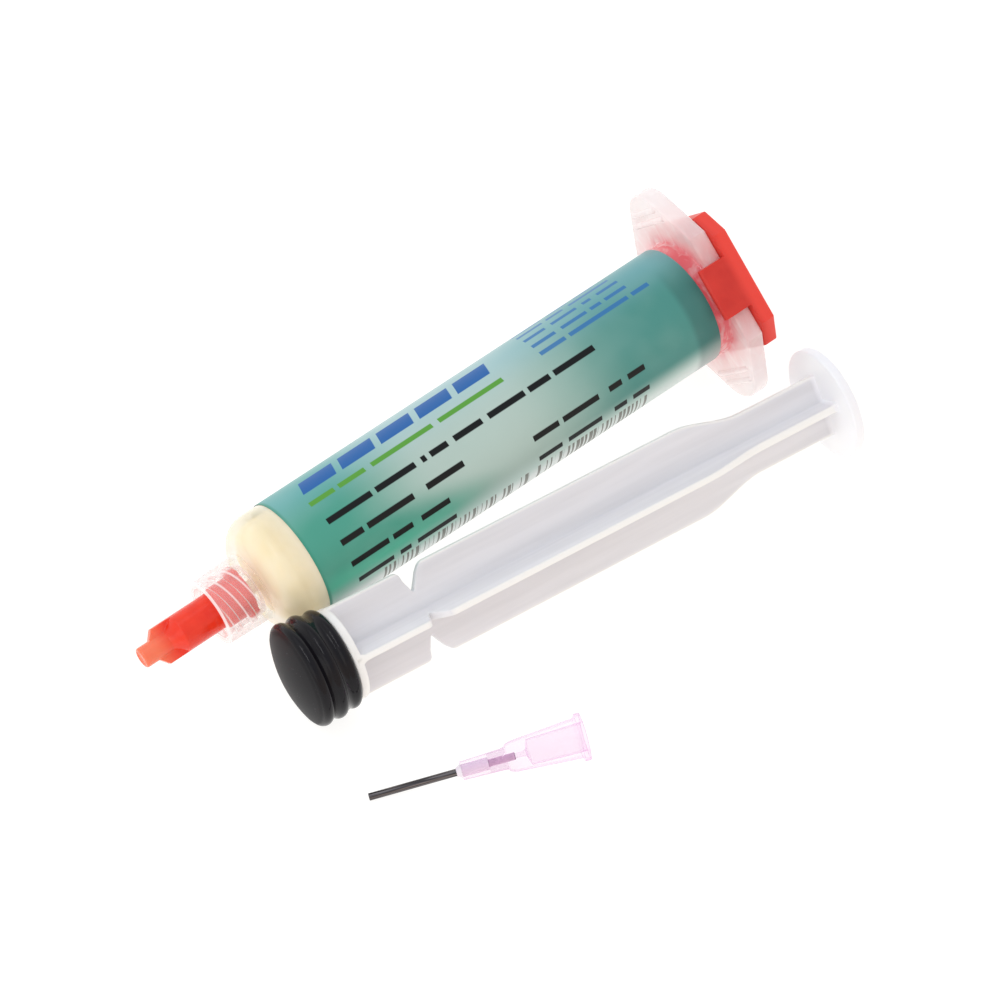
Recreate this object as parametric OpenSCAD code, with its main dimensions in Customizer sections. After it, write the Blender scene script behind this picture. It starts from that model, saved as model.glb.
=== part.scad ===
// Flux syringe, taken apart as it is laid out for use: a filled and labelled
// dispensing barrel with its tip cap and end cap, the thumb plunger with its
// rubber piston, and one blunt dispensing needle.
// Millimetres. Z is up and Z = 0 is the table that the three groups lie on.
// The barrel's axis runs along X, nose towards -X.

/* [Barrel] */
// Bore of the barrel
bore_d = 15.9; // [14:0.1:18]
// Wall of the tube at its nose end
tube_wall = 1.35; // [0.9:0.05:1.8]
// Growth of the outside radius from the nose to the flange (mould draft)
tube_draft = 0.2; // [0:0.05:0.4]
// Open end of the luer collar to the rear face of the flange
barrel_l = 91.9; // [84:0.5:110]
// Radius of the round shoulder at the nose
shoulder_r = 4.2; // [3:0.1:5]
// Depth of the luer collar in front of the shoulder
collar_l = 7.4; // [6.5:0.1:9]
// Outside diameter of the luer collar at its open end
collar_d = 10.2; // [9.6:0.1:11]
// Inside diameter of the luer collar
collar_bore_d = 8.1; // [8:0.05:8.6]
// Diameter of the luer nozzle at its tip
nozzle_d = 3.95; // [3.8:0.05:4.1]
// How far the nozzle stands out of the collar
nozzle_out = 1.6; // [0.5:0.1:2.4]
// Bore through the nozzle
nozzle_bore_d = 2.1; // [1.6:0.1:2.4]

/* [Finger flange] */
// Thickness of the flange
flange_t = 2.9; // [2:0.1:4]
// Across the two flat sides of the flange
flange_flats = 19.8; // [19.6:0.1:21]
// Span over the two finger ears
ear_span = 35; // [31:0.5:40]
// Angle of the sloping sides of the ears from the flats
ear_slope = 40; // [36:1:44]
// Distance from the axis to the sloping sides
slope_dist = 13.2; // [12.8:0.1:13.8]
// Bevel of the flange's edges
flange_bevel = 0.45; // [0.2:0.05:0.8]
// Height of the grip ribs on the ears
grip_h = 0.35; // [0.2:0.05:0.6]

/* [Contents and label] */
// Depth of the flux in the bore, from the inner floor of the nose
flux_l = 47; // [20:1:60]
// Bare tube between the label and the flange
label_gap = 2.3; // [2.2:0.1:20]
// Start of the label behind the open end of the collar
label_start = 14.3; // [12:0.1:18]
// Thickness of the label
label_t = 0.08; // [0.05:0.01:0.12]

/* [End cap] */
// Thickness of the cap's plate
plate_t = 2.4; // [1.6:0.1:3]
// Width of the plate across the clip legs
plate_w = 22; // [21.6:0.1:23]
// Length of the plate along the ears
plate_l = 21.8; // [18:0.2:26]
// Length of the plug inside the bore
plug_l = 10.3; // [5:0.1:16]
// Wall of the plug
plug_wall = 1.2; // [0.8:0.1:2]
// Width of a clip leg
leg_w = 8.3; // [6:0.1:10]
// Thickness of a clip leg
leg_t = 0.7; // [0.5:0.05:0.9]
// Reach of a clip leg past the front face of the flange
leg_reach = 1.75; // [1:0.05:2.1]

/* [Tip cap] */
// Diameter of the cap's grip
tip_d = 5.75; // [5.2:0.05:6.2]
// Diameter of the skirt inside the collar
tip_skirt_d = 6.5; // [6.2:0.05:6.8]
// Diameter over the two locking lugs
tip_lug_d = 7.7; // [7.2:0.05:7.9]
// Length of the round grip in front of the collar
tip_grip_l = 5.4; // [4:0.1:9]
// Length of the cone from the grip to the nub
tip_cone_l = 2; // [1.4:0.1:3]
// Diameter of the nub at the front
nub_d = 3.15; // [2.6:0.05:4]
// Length of the nub in front of the cone
nub_l = 4.5; // [2.5:0.1:7]
// Thickness of the two fins beside the cone
fin_t = 1.3; // [0.8:0.1:2]
// Length of a fin's straight outer edge in front of the grip
fin_l = 3.3; // [2:0.1:5]

/* [Plunger] */
// Seat of the piston to the thumb disc
rod_l = 83.7; // [70:0.5:100]
// Diameter round the four ribs
rib_d = 14; // [12:0.1:15]
// Diameter round the ribs near the thumb disc
rib_rear_d = 9.5; // [8:0.1:11]
// Thickness of a rib at its edge
rib_edge_t = 0.9; // [0.7:0.1:1.4]
// Thickness of a rib at the core
rib_root_t = 1.5; // [1.4:0.1:2.4]
// Bottom of the snap-off notch behind the piston seat
notch_pos = 13.9; // [10:0.1:20]
// Diameter left at the bottom of the notch
notch_d = 6.7; // [5:0.1:9]
// Start of the narrowing towards the thumb disc
taper_pos = 59.5; // [40:0.5:62]
// Length of the narrowing
taper_l = 11.2; // [6:0.2:14]
// Diameter of the thumb disc
thumb_d = 17.4; // [15:0.1:22]
// Thickness of the thumb disc
thumb_t = 1.5; // [1:0.1:2.5]
// Diameter of the disc behind the rubber piston
seat_d = 14; // [13:0.1:15]
// Thickness of that disc
seat_t = 1.3; // [0.8:0.1:2]

/* [Piston] */
// Diameter over the front ring
piston_d = 16; // [15.9:0.05:16.4]
// Diameter over the rear ring
piston_rear_d = 15.3; // [15:0.05:16]
// Length of the rubber piston without its dome
piston_l = 6.7; // [6.2:0.1:8]
// Height of the domed front
dome_h = 1.5; // [0.8:0.1:2.4]
// Radius of a sealing ring's round edge
ring_r = 1; // [0.85:0.05:1.1]

/* [Needle] */
// Outside diameter of the steel tube
needle_d = 1.07; // [0.8:0.01:1.3]
// Bore of the steel tube
needle_bore_d = 0.7; // [0.4:0.01:0.75]
// Length of steel tube in front of the hub
needle_out = 13.4; // [8:0.1:26]
// Length of the hub
hub_l = 18; // [16:0.1:22]
// Length of the slim front of the hub
hub_neck_l = 5.9; // [4.5:0.1:7]
// Diameter of the hub's front end
hub_tip_d = 2.7; // [2.5:0.1:3.4]
// Diameter of the adhesive well in the hub's front end
well_d = 1.8; // [1.5:0.1:2]
// Depth of the adhesive well
well_l = 3.9; // [2:0.1:4.4]
// Diameter of the hub's body at its front
hub_front_d = 4.5; // [4.4:0.1:5.2]
// Diameter of the hub's body at its rear
hub_rear_d = 5.9; // [5.4:0.1:6.2]
// Diameter over the locking flange
hub_flange_d = 6.9; // [6.5:0.1:7.8]
// Thickness of the locking flange
hub_flange_t = 0.9; // [0.6:0.1:1.4]
// Mouth of the luer socket in the hub
socket_d = 4.27; // [4.2:0.01:4.35]
// Depth of the luer socket
socket_l = 8.2; // [7:0.1:10]

/* [Layout on the table] */
// Piston end of the plunger, from the barrel's label edge, along the barrel
plunger_x = -11; // [-14:0.1:-10.9]
// Piston end of the plunger, in front of the barrel's axis
plunger_y = -16; // [-24:0.1:-16]
// Turn of the plunger against the barrel
plunger_yaw = -5.8; // [-12:0.1:-4]
// Turn of the plunger's ribs round its own axis
rib_turn = 49; // [0:1:89]
// Tip of the needle, from the barrel's label edge, along the barrel
needle_x = -12.2; // [-30:0.1:0]
// Tip of the needle, in front of the barrel's axis
needle_y = -34.2; // [-60:0.1:-33]
// Turn of the needle against the barrel
needle_yaw = -23.1; // [-40:0.1:-10]

/* [Hidden] */
$fn = 96;
luer = 0.03;          // radius gained per mm of a luer taper
run_gap = 0.05;       // clearance of faces that slide on each other
fit_gap = 0.02;       // clearance of faces that stay together
eps = 0.02;

bore_r = bore_d / 2;
tube_r = bore_r + tube_wall;
shoulder_z = collar_l + shoulder_r;
rear_r = tube_r + tube_draft;
floor_z = collar_l + tube_wall + 0.1;
inner_shoulder_r = shoulder_r - tube_wall;
flange_z = barrel_l - flange_t;
nozzle_r0 = nozzle_d / 2;
nozzle_root_r = nozzle_r0 + luer * (nozzle_out + collar_l);
flat_r = flange_flats / 2;

// Radius of the ear tips, tangent to the two slopes and to the span
ear_r = (slope_dist - sin(ear_slope) * ear_span / 2) / (1 - sin(ear_slope));
ear_c = ear_span / 2 - ear_r;

// Outside radius of the tube at a height above the collar's open end
function tubeR(z) = tube_r + tube_draft * (z - shoulder_z) / (barrel_l - shoulder_z);

// Tilt at which two round edges of an axis that lies on the table both touch
// it: a is the difference of their centre radii, c their distance along the
// axis and b the difference of their own edge radii
function restTilt(a, c, b) = acos(b / sqrt(a * a + c * c)) - atan2(c, a);

// The barrel rests on the round shoulder and on one slope of the flange
barrel_roll = ear_slope;
rest_z = flange_z + flange_bevel;
barrel_tilt = restTilt(slope_dist - (tube_r - shoulder_r), rest_z - shoulder_z, shoulder_r);
barrel_h = (tube_r - shoulder_r) * cos(barrel_tilt) + shoulder_r
    - shoulder_z * sin(barrel_tilt);

// The plunger rests on its front ring and on the thumb disc
seat_z = piston_l;
rod_z = seat_z + seat_t;
thumb_z = seat_z + rod_l;
ring_c = piston_d / 2 - ring_r;
thumb_bevel = 0.3;
plunger_tilt = restTilt(thumb_d / 2 - ring_c, thumb_z + thumb_bevel - ring_r, ring_r);
plunger_h = ring_c * cos(plunger_tilt) + ring_r - ring_r * sin(plunger_tilt);

// The needle rests on the end of its steel tube and on the hub's flange
hub_z = needle_out;
hub_end = hub_z + hub_l;
hub_flange_z = hub_end - hub_flange_t;
needle_tilt = atan2(hub_flange_d / 2 - needle_d / 2, hub_flange_z);
needle_h = needle_d / 2 * cos(needle_tilt);

// Reach of a round rim along one axis of the table: p is the start of its
// part's axis, d the share of the part's axis along that direction, z the
// rim's place on it and r its radius
function rimReach(p, d, z, r) = p + d * z + r * sqrt(1 - d * d);

// Middle of the group, from the nub and the thumb disc at its two ends and
// from the upper ear and the needle's flange at its two sides. The origin of
// the part is the point of the table under it
nub_bevel = 0.3;
tip_l = tip_grip_l + tip_cone_l + nub_l;
centre_x = (rimReach(plunger_x, cos(plunger_tilt) * cos(plunger_yaw), thumb_z + thumb_t,
    thumb_d / 2 - thumb_bevel)
    - rimReach(0, cos(barrel_tilt), label_start + tip_l, nub_d / 2 - nub_bevel)) / 2;
centre_y = (ear_c * cos(barrel_roll) + ear_r
    - rimReach(-needle_y, -cos(needle_tilt) * sin(needle_yaw), hub_end,
    hub_flange_d / 2)) / 2;

module placeBarrel() {
    translate([-label_start * cos(barrel_tilt) - centre_x, -centre_y, barrel_h])
        rotate([0, 90 - barrel_tilt, 0])
            rotate([0, 0, barrel_roll]) children();
}

module placePlunger() {
    translate([plunger_x - centre_x, plunger_y - centre_y, plunger_h])
        rotate([0, 0, plunger_yaw])
            rotate([0, 90 - plunger_tilt, 0])
                rotate([0, 0, rib_turn]) children();
}

module placeNeedle() {
    translate([needle_x - centre_x, needle_y - centre_y, needle_h])
        rotate([0, 0, needle_yaw])
            rotate([0, 90 - needle_tilt, 0]) children();
}

// Outline of the flange: two flats, four slopes and two round ears. It can be
// drawn smaller all round by inset
module flangeOutline(inset = 0, flats = flat_r) {
    w = flats - inset;
    d = slope_dist - inset;
    r = ear_r - inset;
    corner = (d - w * cos(ear_slope)) / sin(ear_slope);
    tip = [r * cos(ear_slope), ear_c + r * sin(ear_slope)];
    polygon([[w, -corner], [w, corner], [tip[0], tip[1]], [-tip[0], tip[1]],
        [-w, corner], [-w, -corner], [-tip[0], -tip[1]], [tip[0], -tip[1]]]);
    for (s = [-1, 1]) translate([0, s * ear_c]) circle(r, $fn = 40);
}

// Flange plate with both edges bevelled, standing on z = 0
module flangePlate() {
    hull() {
        linear_extrude(flange_t) flangeOutline(flange_bevel);
        translate([0, 0, flange_bevel])
            linear_extrude(flange_t - 2 * flange_bevel) flangeOutline();
    }
}

// Half section of the barrel's outside, r along X and height along Y
module barrelOutside() {
    polygon([[0, shoulder_z], [tube_r, shoulder_z], [rear_r, barrel_l], [0, barrel_l]]);
    square([tube_r - shoulder_r, shoulder_z]);
    translate([0, collar_l]) square([tube_r - shoulder_r, shoulder_r]);
    intersection() {
        translate([tube_r - shoulder_r, shoulder_z]) circle(shoulder_r);
        translate([0, collar_l]) square([tube_r, shoulder_r + eps]);
    }
    polygon([[0, 0], [collar_d / 2 - 0.25, 0], [collar_d / 2, 0.25],
        [collar_d / 2 + 0.2, collar_l + eps], [0, collar_l + eps]]);
}

// Half section of the bore, its round inner shoulder and its sloping floor
module barrelInside() {
    translate([0, floor_z + inner_shoulder_r])
        square([bore_r, barrel_l + 1 - floor_z - inner_shoulder_r]);
    intersection() {
        translate([bore_r - inner_shoulder_r, floor_z + inner_shoulder_r])
            circle(inner_shoulder_r);
        translate([0, floor_z]) square([bore_r, inner_shoulder_r + eps]);
    }
    square_r = bore_r - inner_shoulder_r;
    polygon([[0, floor_z - 0.7], [nozzle_bore_d / 2, floor_z - 0.7], [square_r, floor_z],
        [square_r, floor_z + inner_shoulder_r + eps],
        [0, floor_z + inner_shoulder_r + eps]]);
    translate([0, -nozzle_out - 1]) square([nozzle_bore_d / 2, floor_z + nozzle_out + 1]);
    polygon([[0, barrel_l + 0.01], [bore_r + 0.4, barrel_l + 0.01],
        [bore_r, barrel_l - 0.5], [0, barrel_l - 0.5]]);
}

module barrel() {
    collar_floor = collar_l - 0.4;
    color([0.93, 0.93, 0.95, 0.45]) difference() {
        union() {
            rotate_extrude() difference() {
                barrelOutside();
                polygon([[0, -1], [collar_bore_d / 2 + 0.2, -1], [collar_bore_d / 2 + 0.2, 0],
                    [collar_bore_d / 2, 0.3], [collar_bore_d / 2, collar_floor],
                    [0, collar_floor]]);
            }
            translate([0, 0, -nozzle_out])
                cylinder(h = nozzle_out + collar_l, r1 = nozzle_r0, r2 = nozzle_root_r);
            translate([0, 0, flange_z]) flangePlate();
            for (s = [-1, 1], k = [0, 1])
                translate([0, s * (ear_span / 2 - 2.9 - 1.7 * k), flange_z])
                    gripRib(7.4 + 1.8 * k);
        }
        rotate_extrude() barrelInside();
    }
}

// Low round rib across an ear, half sunk into its front face
module gripRib(l) {
    r = 0.5;
    translate([-l / 2, 0, r - grip_h]) rotate([0, 90, 0]) cylinder(h = l, r = r, $fn = 24);
    for (s = [-1, 1]) translate([s * l / 2, 0, r - grip_h]) sphere(r, $fn = 24);
}

module label() {
    z0 = label_start;
    z1 = flange_z - label_gap;
    g = fit_gap;
    color([0.25, 0.61, 0.53]) rotate_extrude()
        polygon([[tubeR(z0) + g, z0], [tubeR(z0) + g + label_t, z0],
            [tubeR(z1) + g + label_t, z1], [tubeR(z1) + g, z1]]);
}

module flux() {
    g = fit_gap;
    r = bore_r - g;
    sr = inner_shoulder_r;
    color([0.98, 0.93, 0.8]) rotate_extrude() {
        translate([0, floor_z + sr]) square([r, flux_l - sr]);
        intersection() {
            translate([bore_r - sr, floor_z + sr]) circle(sr - g);
            translate([0, floor_z]) square([r, sr + eps]);
        }
        polygon([[0, floor_z - 0.7 + g], [nozzle_bore_d / 2 - g, floor_z - 0.7 + g],
            [bore_r - sr, floor_z + g], [bore_r - sr, floor_z + sr + eps],
            [0, floor_z + sr + eps]]);
        translate([0, -nozzle_out + 0.2])
            square([nozzle_bore_d / 2 - g, floor_z + nozzle_out]);
    }
}

// Tip cap. Its round grip runs over a cone into a nub, with two thin fins
// beside the cone and a luer socket inside
module tip_cap() {
    skirt_z0 = 1.4;
    skirt_z1 = 6.1;
    cone_z = -tip_grip_l;
    nub_z = cone_z - tip_cone_l;
    nub_r = nub_d / 2;
    b = nub_bevel;
    socket_z = -nozzle_out - 0.3;
    color([0.95, 0.25, 0.17]) difference() {
        union() {
            rotate_extrude() polygon([[0, -tip_l], [nub_r - b, -tip_l], [nub_r, b - tip_l],
                [nub_r, nub_z], [tip_d / 2, cone_z], [tip_d / 2, skirt_z0],
                [tip_skirt_d / 2, skirt_z0], [tip_skirt_d / 2, skirt_z1], [0, skirt_z1]]);
            tipLugs(skirt_z1 - 1.2, 1.2);
            intersection() {
                translate([fin_t / 2, 0, 0]) rotate([0, -90, 0])
                    linear_extrude(fin_t) finOutline(cone_z);
                translate([0, 0, -tip_l]) cylinder(h = tip_l, d = tip_d);
            }
        }
        // luer socket
        translate([0, 0, socket_z]) cylinder(h = skirt_z1 - socket_z + eps,
            r1 = nozzle_r0 + run_gap + luer * (socket_z + nozzle_out),
            r2 = nozzle_r0 + run_gap + luer * (skirt_z1 + nozzle_out));
    }
}

// Outline of the two fins, height along X: straight outer edges, then a slope
// that ends on the nub
module finOutline(z) {
    r = tip_d / 2 + eps;
    slope = tip_d / 2 - nub_d / 2;
    inside = nub_d / 2 - 0.3;
    polygon([[z + eps, -r], [z + eps, r], [z - fin_l, r], [z - fin_l - 0.8 * slope, inside],
        [z - fin_l - 0.8 * slope, -inside], [z - fin_l, -r]]);
}

// Two locking lugs, each a slice of a ring
module tipLugs(z, h) {
    translate([0, 0, z]) intersection() {
        cylinder(h = h, d = tip_lug_d);
        cube([4, tip_lug_d + 1, 2 * h + 1], center = true);
    }
}

module plateOutline() {
    intersection() {
        flangeOutline(0, plate_w / 2);
        square([plate_w + 1, plate_l], center = true);
    }
}

// End cap: plate over the flange, hollow plug in the bore, two clip legs
module end_cap() {
    plate_z = barrel_l + run_gap;
    plug_r = bore_r - 0.18;
    bead_r = bore_r - run_gap;
    plug_z = barrel_l - plug_l;
    leg_z = flange_z - leg_reach;
    bevel = 0.35;
    color([0.93, 0.27, 0.22]) difference() {
        union() {
            hull() {
                translate([0, 0, plate_z]) linear_extrude(plate_t - bevel) plateOutline();
                translate([0, 0, plate_z]) linear_extrude(plate_t) intersection() {
                    flangeOutline(bevel, plate_w / 2);
                    square([plate_w + 1, plate_l - 2 * bevel], center = true);
                }
            }
            rotate_extrude() polygon([[0, plug_z], [plug_r - 0.5, plug_z],
                [plug_r, plug_z + 0.8], [plug_r, plug_z + 1.8], [bead_r, plug_z + 2.1],
                [bead_r, plug_z + 2.7], [plug_r, plug_z + 3], [plug_r, plate_z + eps],
                [0, plate_z + eps]]);
            for (s = [-1, 1]) scale([s, 1, 1]) clipLeg(leg_z, plate_z);
        }
        translate([0, 0, plug_z - 1]) cylinder(h = plug_l + 1 - 0.4, r = plug_r - plug_wall);
    }
}

// Clip leg beside a flat of the flange, with a foot turned in at its end
module clipLeg(z0, z1) {
    outer = plate_w / 2;
    inner = outer - leg_t;
    foot = flat_r + 0.12;
    foot_l = leg_reach - 0.15;
    translate([0, leg_w / 2, 0]) rotate([90, 0, 0]) linear_extrude(leg_w)
        polygon([[outer, z1 + 0.5], [outer, z0 + 0.35], [outer - 0.35, z0],
            [foot + 0.1, z0], [foot, z0 + 0.3], [foot, z0 + foot_l - 0.4],
            [inner, z0 + foot_l], [inner, z1 + 0.5]]);
}

// Radius of the ribs' round outline at a height over the seat, at the rear
// narrowing
function narrowR(t) = (rib_d + rib_rear_d) / 4 + (rib_d - rib_rear_d) / 4 * cos(180 * t);

// Rounded corner from a to c round b, as points along a curve
function bend(a, b, c, n = 6) = [for (i = [0:n]) let (t = i / n)
    (1 - t) * (1 - t) * a + 2 * t * (1 - t) * b + t * t * c];

// Outline that the four ribs are turned to: full, a snap-off notch, full
// again and the narrowing at the rear
module ribProfile() {
    r = rib_d / 2;
    n = notch_d / 2;
    z0 = rod_z - eps;
    zn = seat_z + notch_pos;
    zt = seat_z + taper_pos;
    ze = thumb_z + eps;
    polygon(concat([[0, z0], [r, z0]],
        bend([r, zn - 2.9], [r, zn - 1.2], [r - 1.5, zn - 0.9]),
        [[n, zn - 0.1], [n, zn + 0.1]],
        bend([r - 1.2, zn + 1.4], [r, zn + 2], [r, zn + 3.8]),
        [for (i = [0:14]) [narrowR(i / 14), zt + taper_l * i / 14]],
        [[rib_rear_d / 2, ze], [0, ze]]));
}

// Cross of two tapered ribs
module ribCross() {
    r = rib_d / 2 + 0.5;
    for (a = [0, 90]) rotate(a)
        polygon([[-r, -rib_edge_t / 2], [0, -rib_root_t / 2], [r, -rib_edge_t / 2],
            [r, rib_edge_t / 2], [0, rib_root_t / 2], [-r, rib_edge_t / 2]]);
}

// The stud that carries the rubber piston: neck and head
stud_neck_r = 2.9;
stud_head_r = 4.4;
stud_head_z = 1.7;
stud_neck_z = 3.7;

module plunger_rod() {
    color([0.86, 0.86, 0.9]) {
        intersection() {
            translate([0, 0, rod_z - eps]) linear_extrude(thumb_z - rod_z + 2 * eps)
                ribCross();
            rotate_extrude() ribProfile();
        }
        rotate_extrude() {
            polygon([[0, seat_z], [seat_d / 2 - 0.2, seat_z], [seat_d / 2, seat_z + 0.2],
                [seat_d / 2, rod_z - 0.3], [seat_d / 2 - 0.3, rod_z], [0, rod_z]]);
            polygon([[0, thumb_z], [thumb_d / 2 - thumb_bevel, thumb_z],
                [thumb_d / 2, thumb_z + thumb_bevel],
                [thumb_d / 2, thumb_z + thumb_t - thumb_bevel],
                [thumb_d / 2 - thumb_bevel, thumb_z + thumb_t], [0, thumb_z + thumb_t]]);
            polygon([[0, stud_head_z], [stud_head_r - 0.8, stud_head_z],
                [stud_head_r, stud_neck_z - 0.6], [stud_head_r, stud_neck_z],
                [stud_neck_r, stud_neck_z], [stud_neck_r, seat_z + eps],
                [0, seat_z + eps]]);
        }
    }
}

module piston() {
    g = fit_gap;
    core_r = piston_d / 2 - 0.7;
    rear_ring_r = ring_r - 0.1;
    rear_c = piston_rear_d / 2 - rear_ring_r;
    front_r = ring_c + 0.35;
    dome_r = (front_r * front_r + dome_h * dome_h) / (2 * dome_h);
    color([0.08, 0.08, 0.08]) rotate_extrude() difference() {
        union() {
            translate([0, ring_r]) square([core_r, piston_l - rear_ring_r - ring_r]);
            square([ring_c, piston_l - 0.02]);
            translate([ring_c, ring_r]) circle(ring_r, $fn = 48);
            translate([ring_c, piston_l / 2]) circle(ring_r, $fn = 48);
            translate([rear_c, piston_l - rear_ring_r - 0.02]) circle(rear_ring_r, $fn = 48);
            intersection() {
                translate([0, dome_r - dome_h]) circle(dome_r, $fn = 160);
                translate([0, -dome_h - 1]) square([front_r, dome_h + 1 + 0.3]);
            }
        }
        translate([-piston_d, -piston_d]) square([piston_d, 2 * piston_d + piston_l]);
        polygon([[0, stud_head_z - g], [stud_head_r - 0.8 + g, stud_head_z - g],
            [stud_head_r + g, stud_neck_z - 0.6 - g], [stud_head_r + g, stud_neck_z + g],
            [stud_neck_r + g, stud_neck_z + g], [stud_neck_r + g, piston_l + 1],
            [0, piston_l + 1]]);
    }
}

// Needle hub: slim neck with an adhesive well round the steel tube, a soft
// step, a tapered body with a luer socket, and a flange
module needle_hub() {
    neck_z = hub_z + hub_neck_l;
    body_z = neck_z + 1.7;
    hole_r = needle_d / 2 + fit_gap;
    floor_r = socket_d / 2 - luer * socket_l;
    floor_at = hub_end - socket_l;
    stop_z = floor_at - 2;
    neck_r = hub_tip_d / 2 + 0.2;
    color([0.97, 0.72, 0.9, 0.6]) rotate_extrude() difference() {
        polygon(concat([[0, hub_z], [hub_tip_d / 2 - 0.1, hub_z],
            [hub_tip_d / 2, hub_z + 0.1]],
            bend([neck_r, neck_z], [neck_r + 0.1, neck_z + 0.6], [hub_front_d / 2 - 0.3, neck_z + 0.8]),
            [[hub_front_d / 2, body_z], [hub_rear_d / 2, hub_flange_z],
            [hub_flange_d / 2, hub_flange_z], [hub_flange_d / 2, hub_end], [0, hub_end]]));
        translate([0, hub_z - 1]) square([hole_r, stop_z - hub_z + 1]);
        translate([0, hub_z - 1]) square([well_d / 2, well_l + 1]);
        translate([0, stop_z - eps]) square([needle_bore_d / 2, 3]);
        polygon([[0, floor_at - 0.8], [needle_bore_d / 2, floor_at - 0.8], [floor_r, floor_at],
            [socket_d / 2, hub_end], [socket_d / 2 + 0.15, hub_end + 0.01], [0, hub_end + 0.01]]);
    }
}

module needle_tube() {
    color([0.42, 0.42, 0.44]) difference() {
        cylinder(h = hub_end - socket_l - 2, d = needle_d, $fn = 48);
        translate([0, 0, -1])
            cylinder(h = hub_end - socket_l, d = needle_bore_d, $fn = 48);
    }
}

// Adhesive that fills the well round the steel tube and stands out as a bead
module needle_bond() {
    g = fit_gap;
    r = needle_d / 2 + g;
    w = well_d / 2 - g;
    color([0.92, 0.86, 0.92, 0.7]) rotate_extrude()
        polygon([[r, hub_z - 0.75], [r + 0.06, hub_z - 0.75], [r + 0.25, hub_z - 0.45],
            [hub_tip_d / 2 - 0.25, hub_z - g], [w, hub_z - g], [w, hub_z + well_l - g],
            [r, hub_z + well_l - g]]);
}

placeBarrel() barrel();
placeBarrel() label();
placeBarrel() flux();
placeBarrel() tip_cap();
placeBarrel() end_cap();
placePlunger() plunger_rod();
placePlunger() piston();
placeNeedle() needle_hub();
placeNeedle() needle_tube();
placeNeedle() needle_bond();
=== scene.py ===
import math

import bmesh
import bpy
from mathutils import Matrix, Vector


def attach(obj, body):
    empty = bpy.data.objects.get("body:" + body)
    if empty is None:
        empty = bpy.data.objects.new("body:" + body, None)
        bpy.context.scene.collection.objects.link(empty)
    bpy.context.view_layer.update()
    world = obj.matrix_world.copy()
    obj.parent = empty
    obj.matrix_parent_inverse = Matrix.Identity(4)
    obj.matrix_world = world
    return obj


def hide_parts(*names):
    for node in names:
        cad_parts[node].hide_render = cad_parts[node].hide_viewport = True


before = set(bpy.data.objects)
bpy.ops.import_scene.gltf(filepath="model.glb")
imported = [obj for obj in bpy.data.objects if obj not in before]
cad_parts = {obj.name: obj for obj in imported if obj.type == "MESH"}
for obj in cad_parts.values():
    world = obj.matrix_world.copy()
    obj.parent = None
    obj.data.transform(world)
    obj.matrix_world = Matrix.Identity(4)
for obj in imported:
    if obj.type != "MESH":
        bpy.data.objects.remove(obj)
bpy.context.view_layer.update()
print("frame loaded:", ", ".join(sorted(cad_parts)))

mm = 0.001

# Where the three groups lie on the table: mm and degrees, as in the solids.
# Each group is modelled upright in mm, with its axis on Z, and then settled there.
lying = {
    "barrel": {"origin": (-41.80571, 17.47789, 8.71402), "yaw": 0.0, "tilt": 2.86406, "roll": 40.0},
    "plunger": {"origin": (-38.52357, 1.47789, 7.99198), "yaw": -5.8, "tilt": 0.44710, "roll": 49.0},
    "needle": {"origin": (-39.72357, -16.72211, 0.53257), "yaw": -23.1, "tilt": 5.45939, "roll": 0.0},
}


def lyingPlace(group):
    g = lying[group]
    turn = (Matrix.Rotation(math.radians(g["yaw"]), 4, "Z")
            @ Matrix.Rotation(math.radians(90 - g["tilt"]), 4, "Y")
            @ Matrix.Rotation(math.radians(g["roll"]), 4, "Z"))
    return Matrix.Translation(Vector(g["origin"]) * mm) @ turn @ Matrix.Scale(mm, 4)


# Tools for the bench

def clearSelection():
    if bpy.context.object and bpy.context.object.mode != "OBJECT":
        bpy.ops.object.mode_set(mode="OBJECT")
    bpy.ops.object.select_all(action="DESELECT")


def takeUp(piece):
    clearSelection()
    piece.select_set(True)
    bpy.context.view_layer.objects.active = piece


def openRings(piece):
    # the mesh in edit mode, with each point's place on its ring and the row of that ring
    mesh = bmesh.from_edit_mesh(piece.data)
    return mesh, mesh.verts.layers.int["slot"], mesh.verts.layers.int["row"]


def pickRow(piece, row):
    bpy.ops.mesh.select_all(action="DESELECT")
    mesh, _, rows = openRings(piece)
    for v in mesh.verts:
        v.select = v[rows] == row
    mesh.select_flush_mode()
    mesh.select_flush(True)
    bmesh.update_edit_mesh(piece.data)


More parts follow.
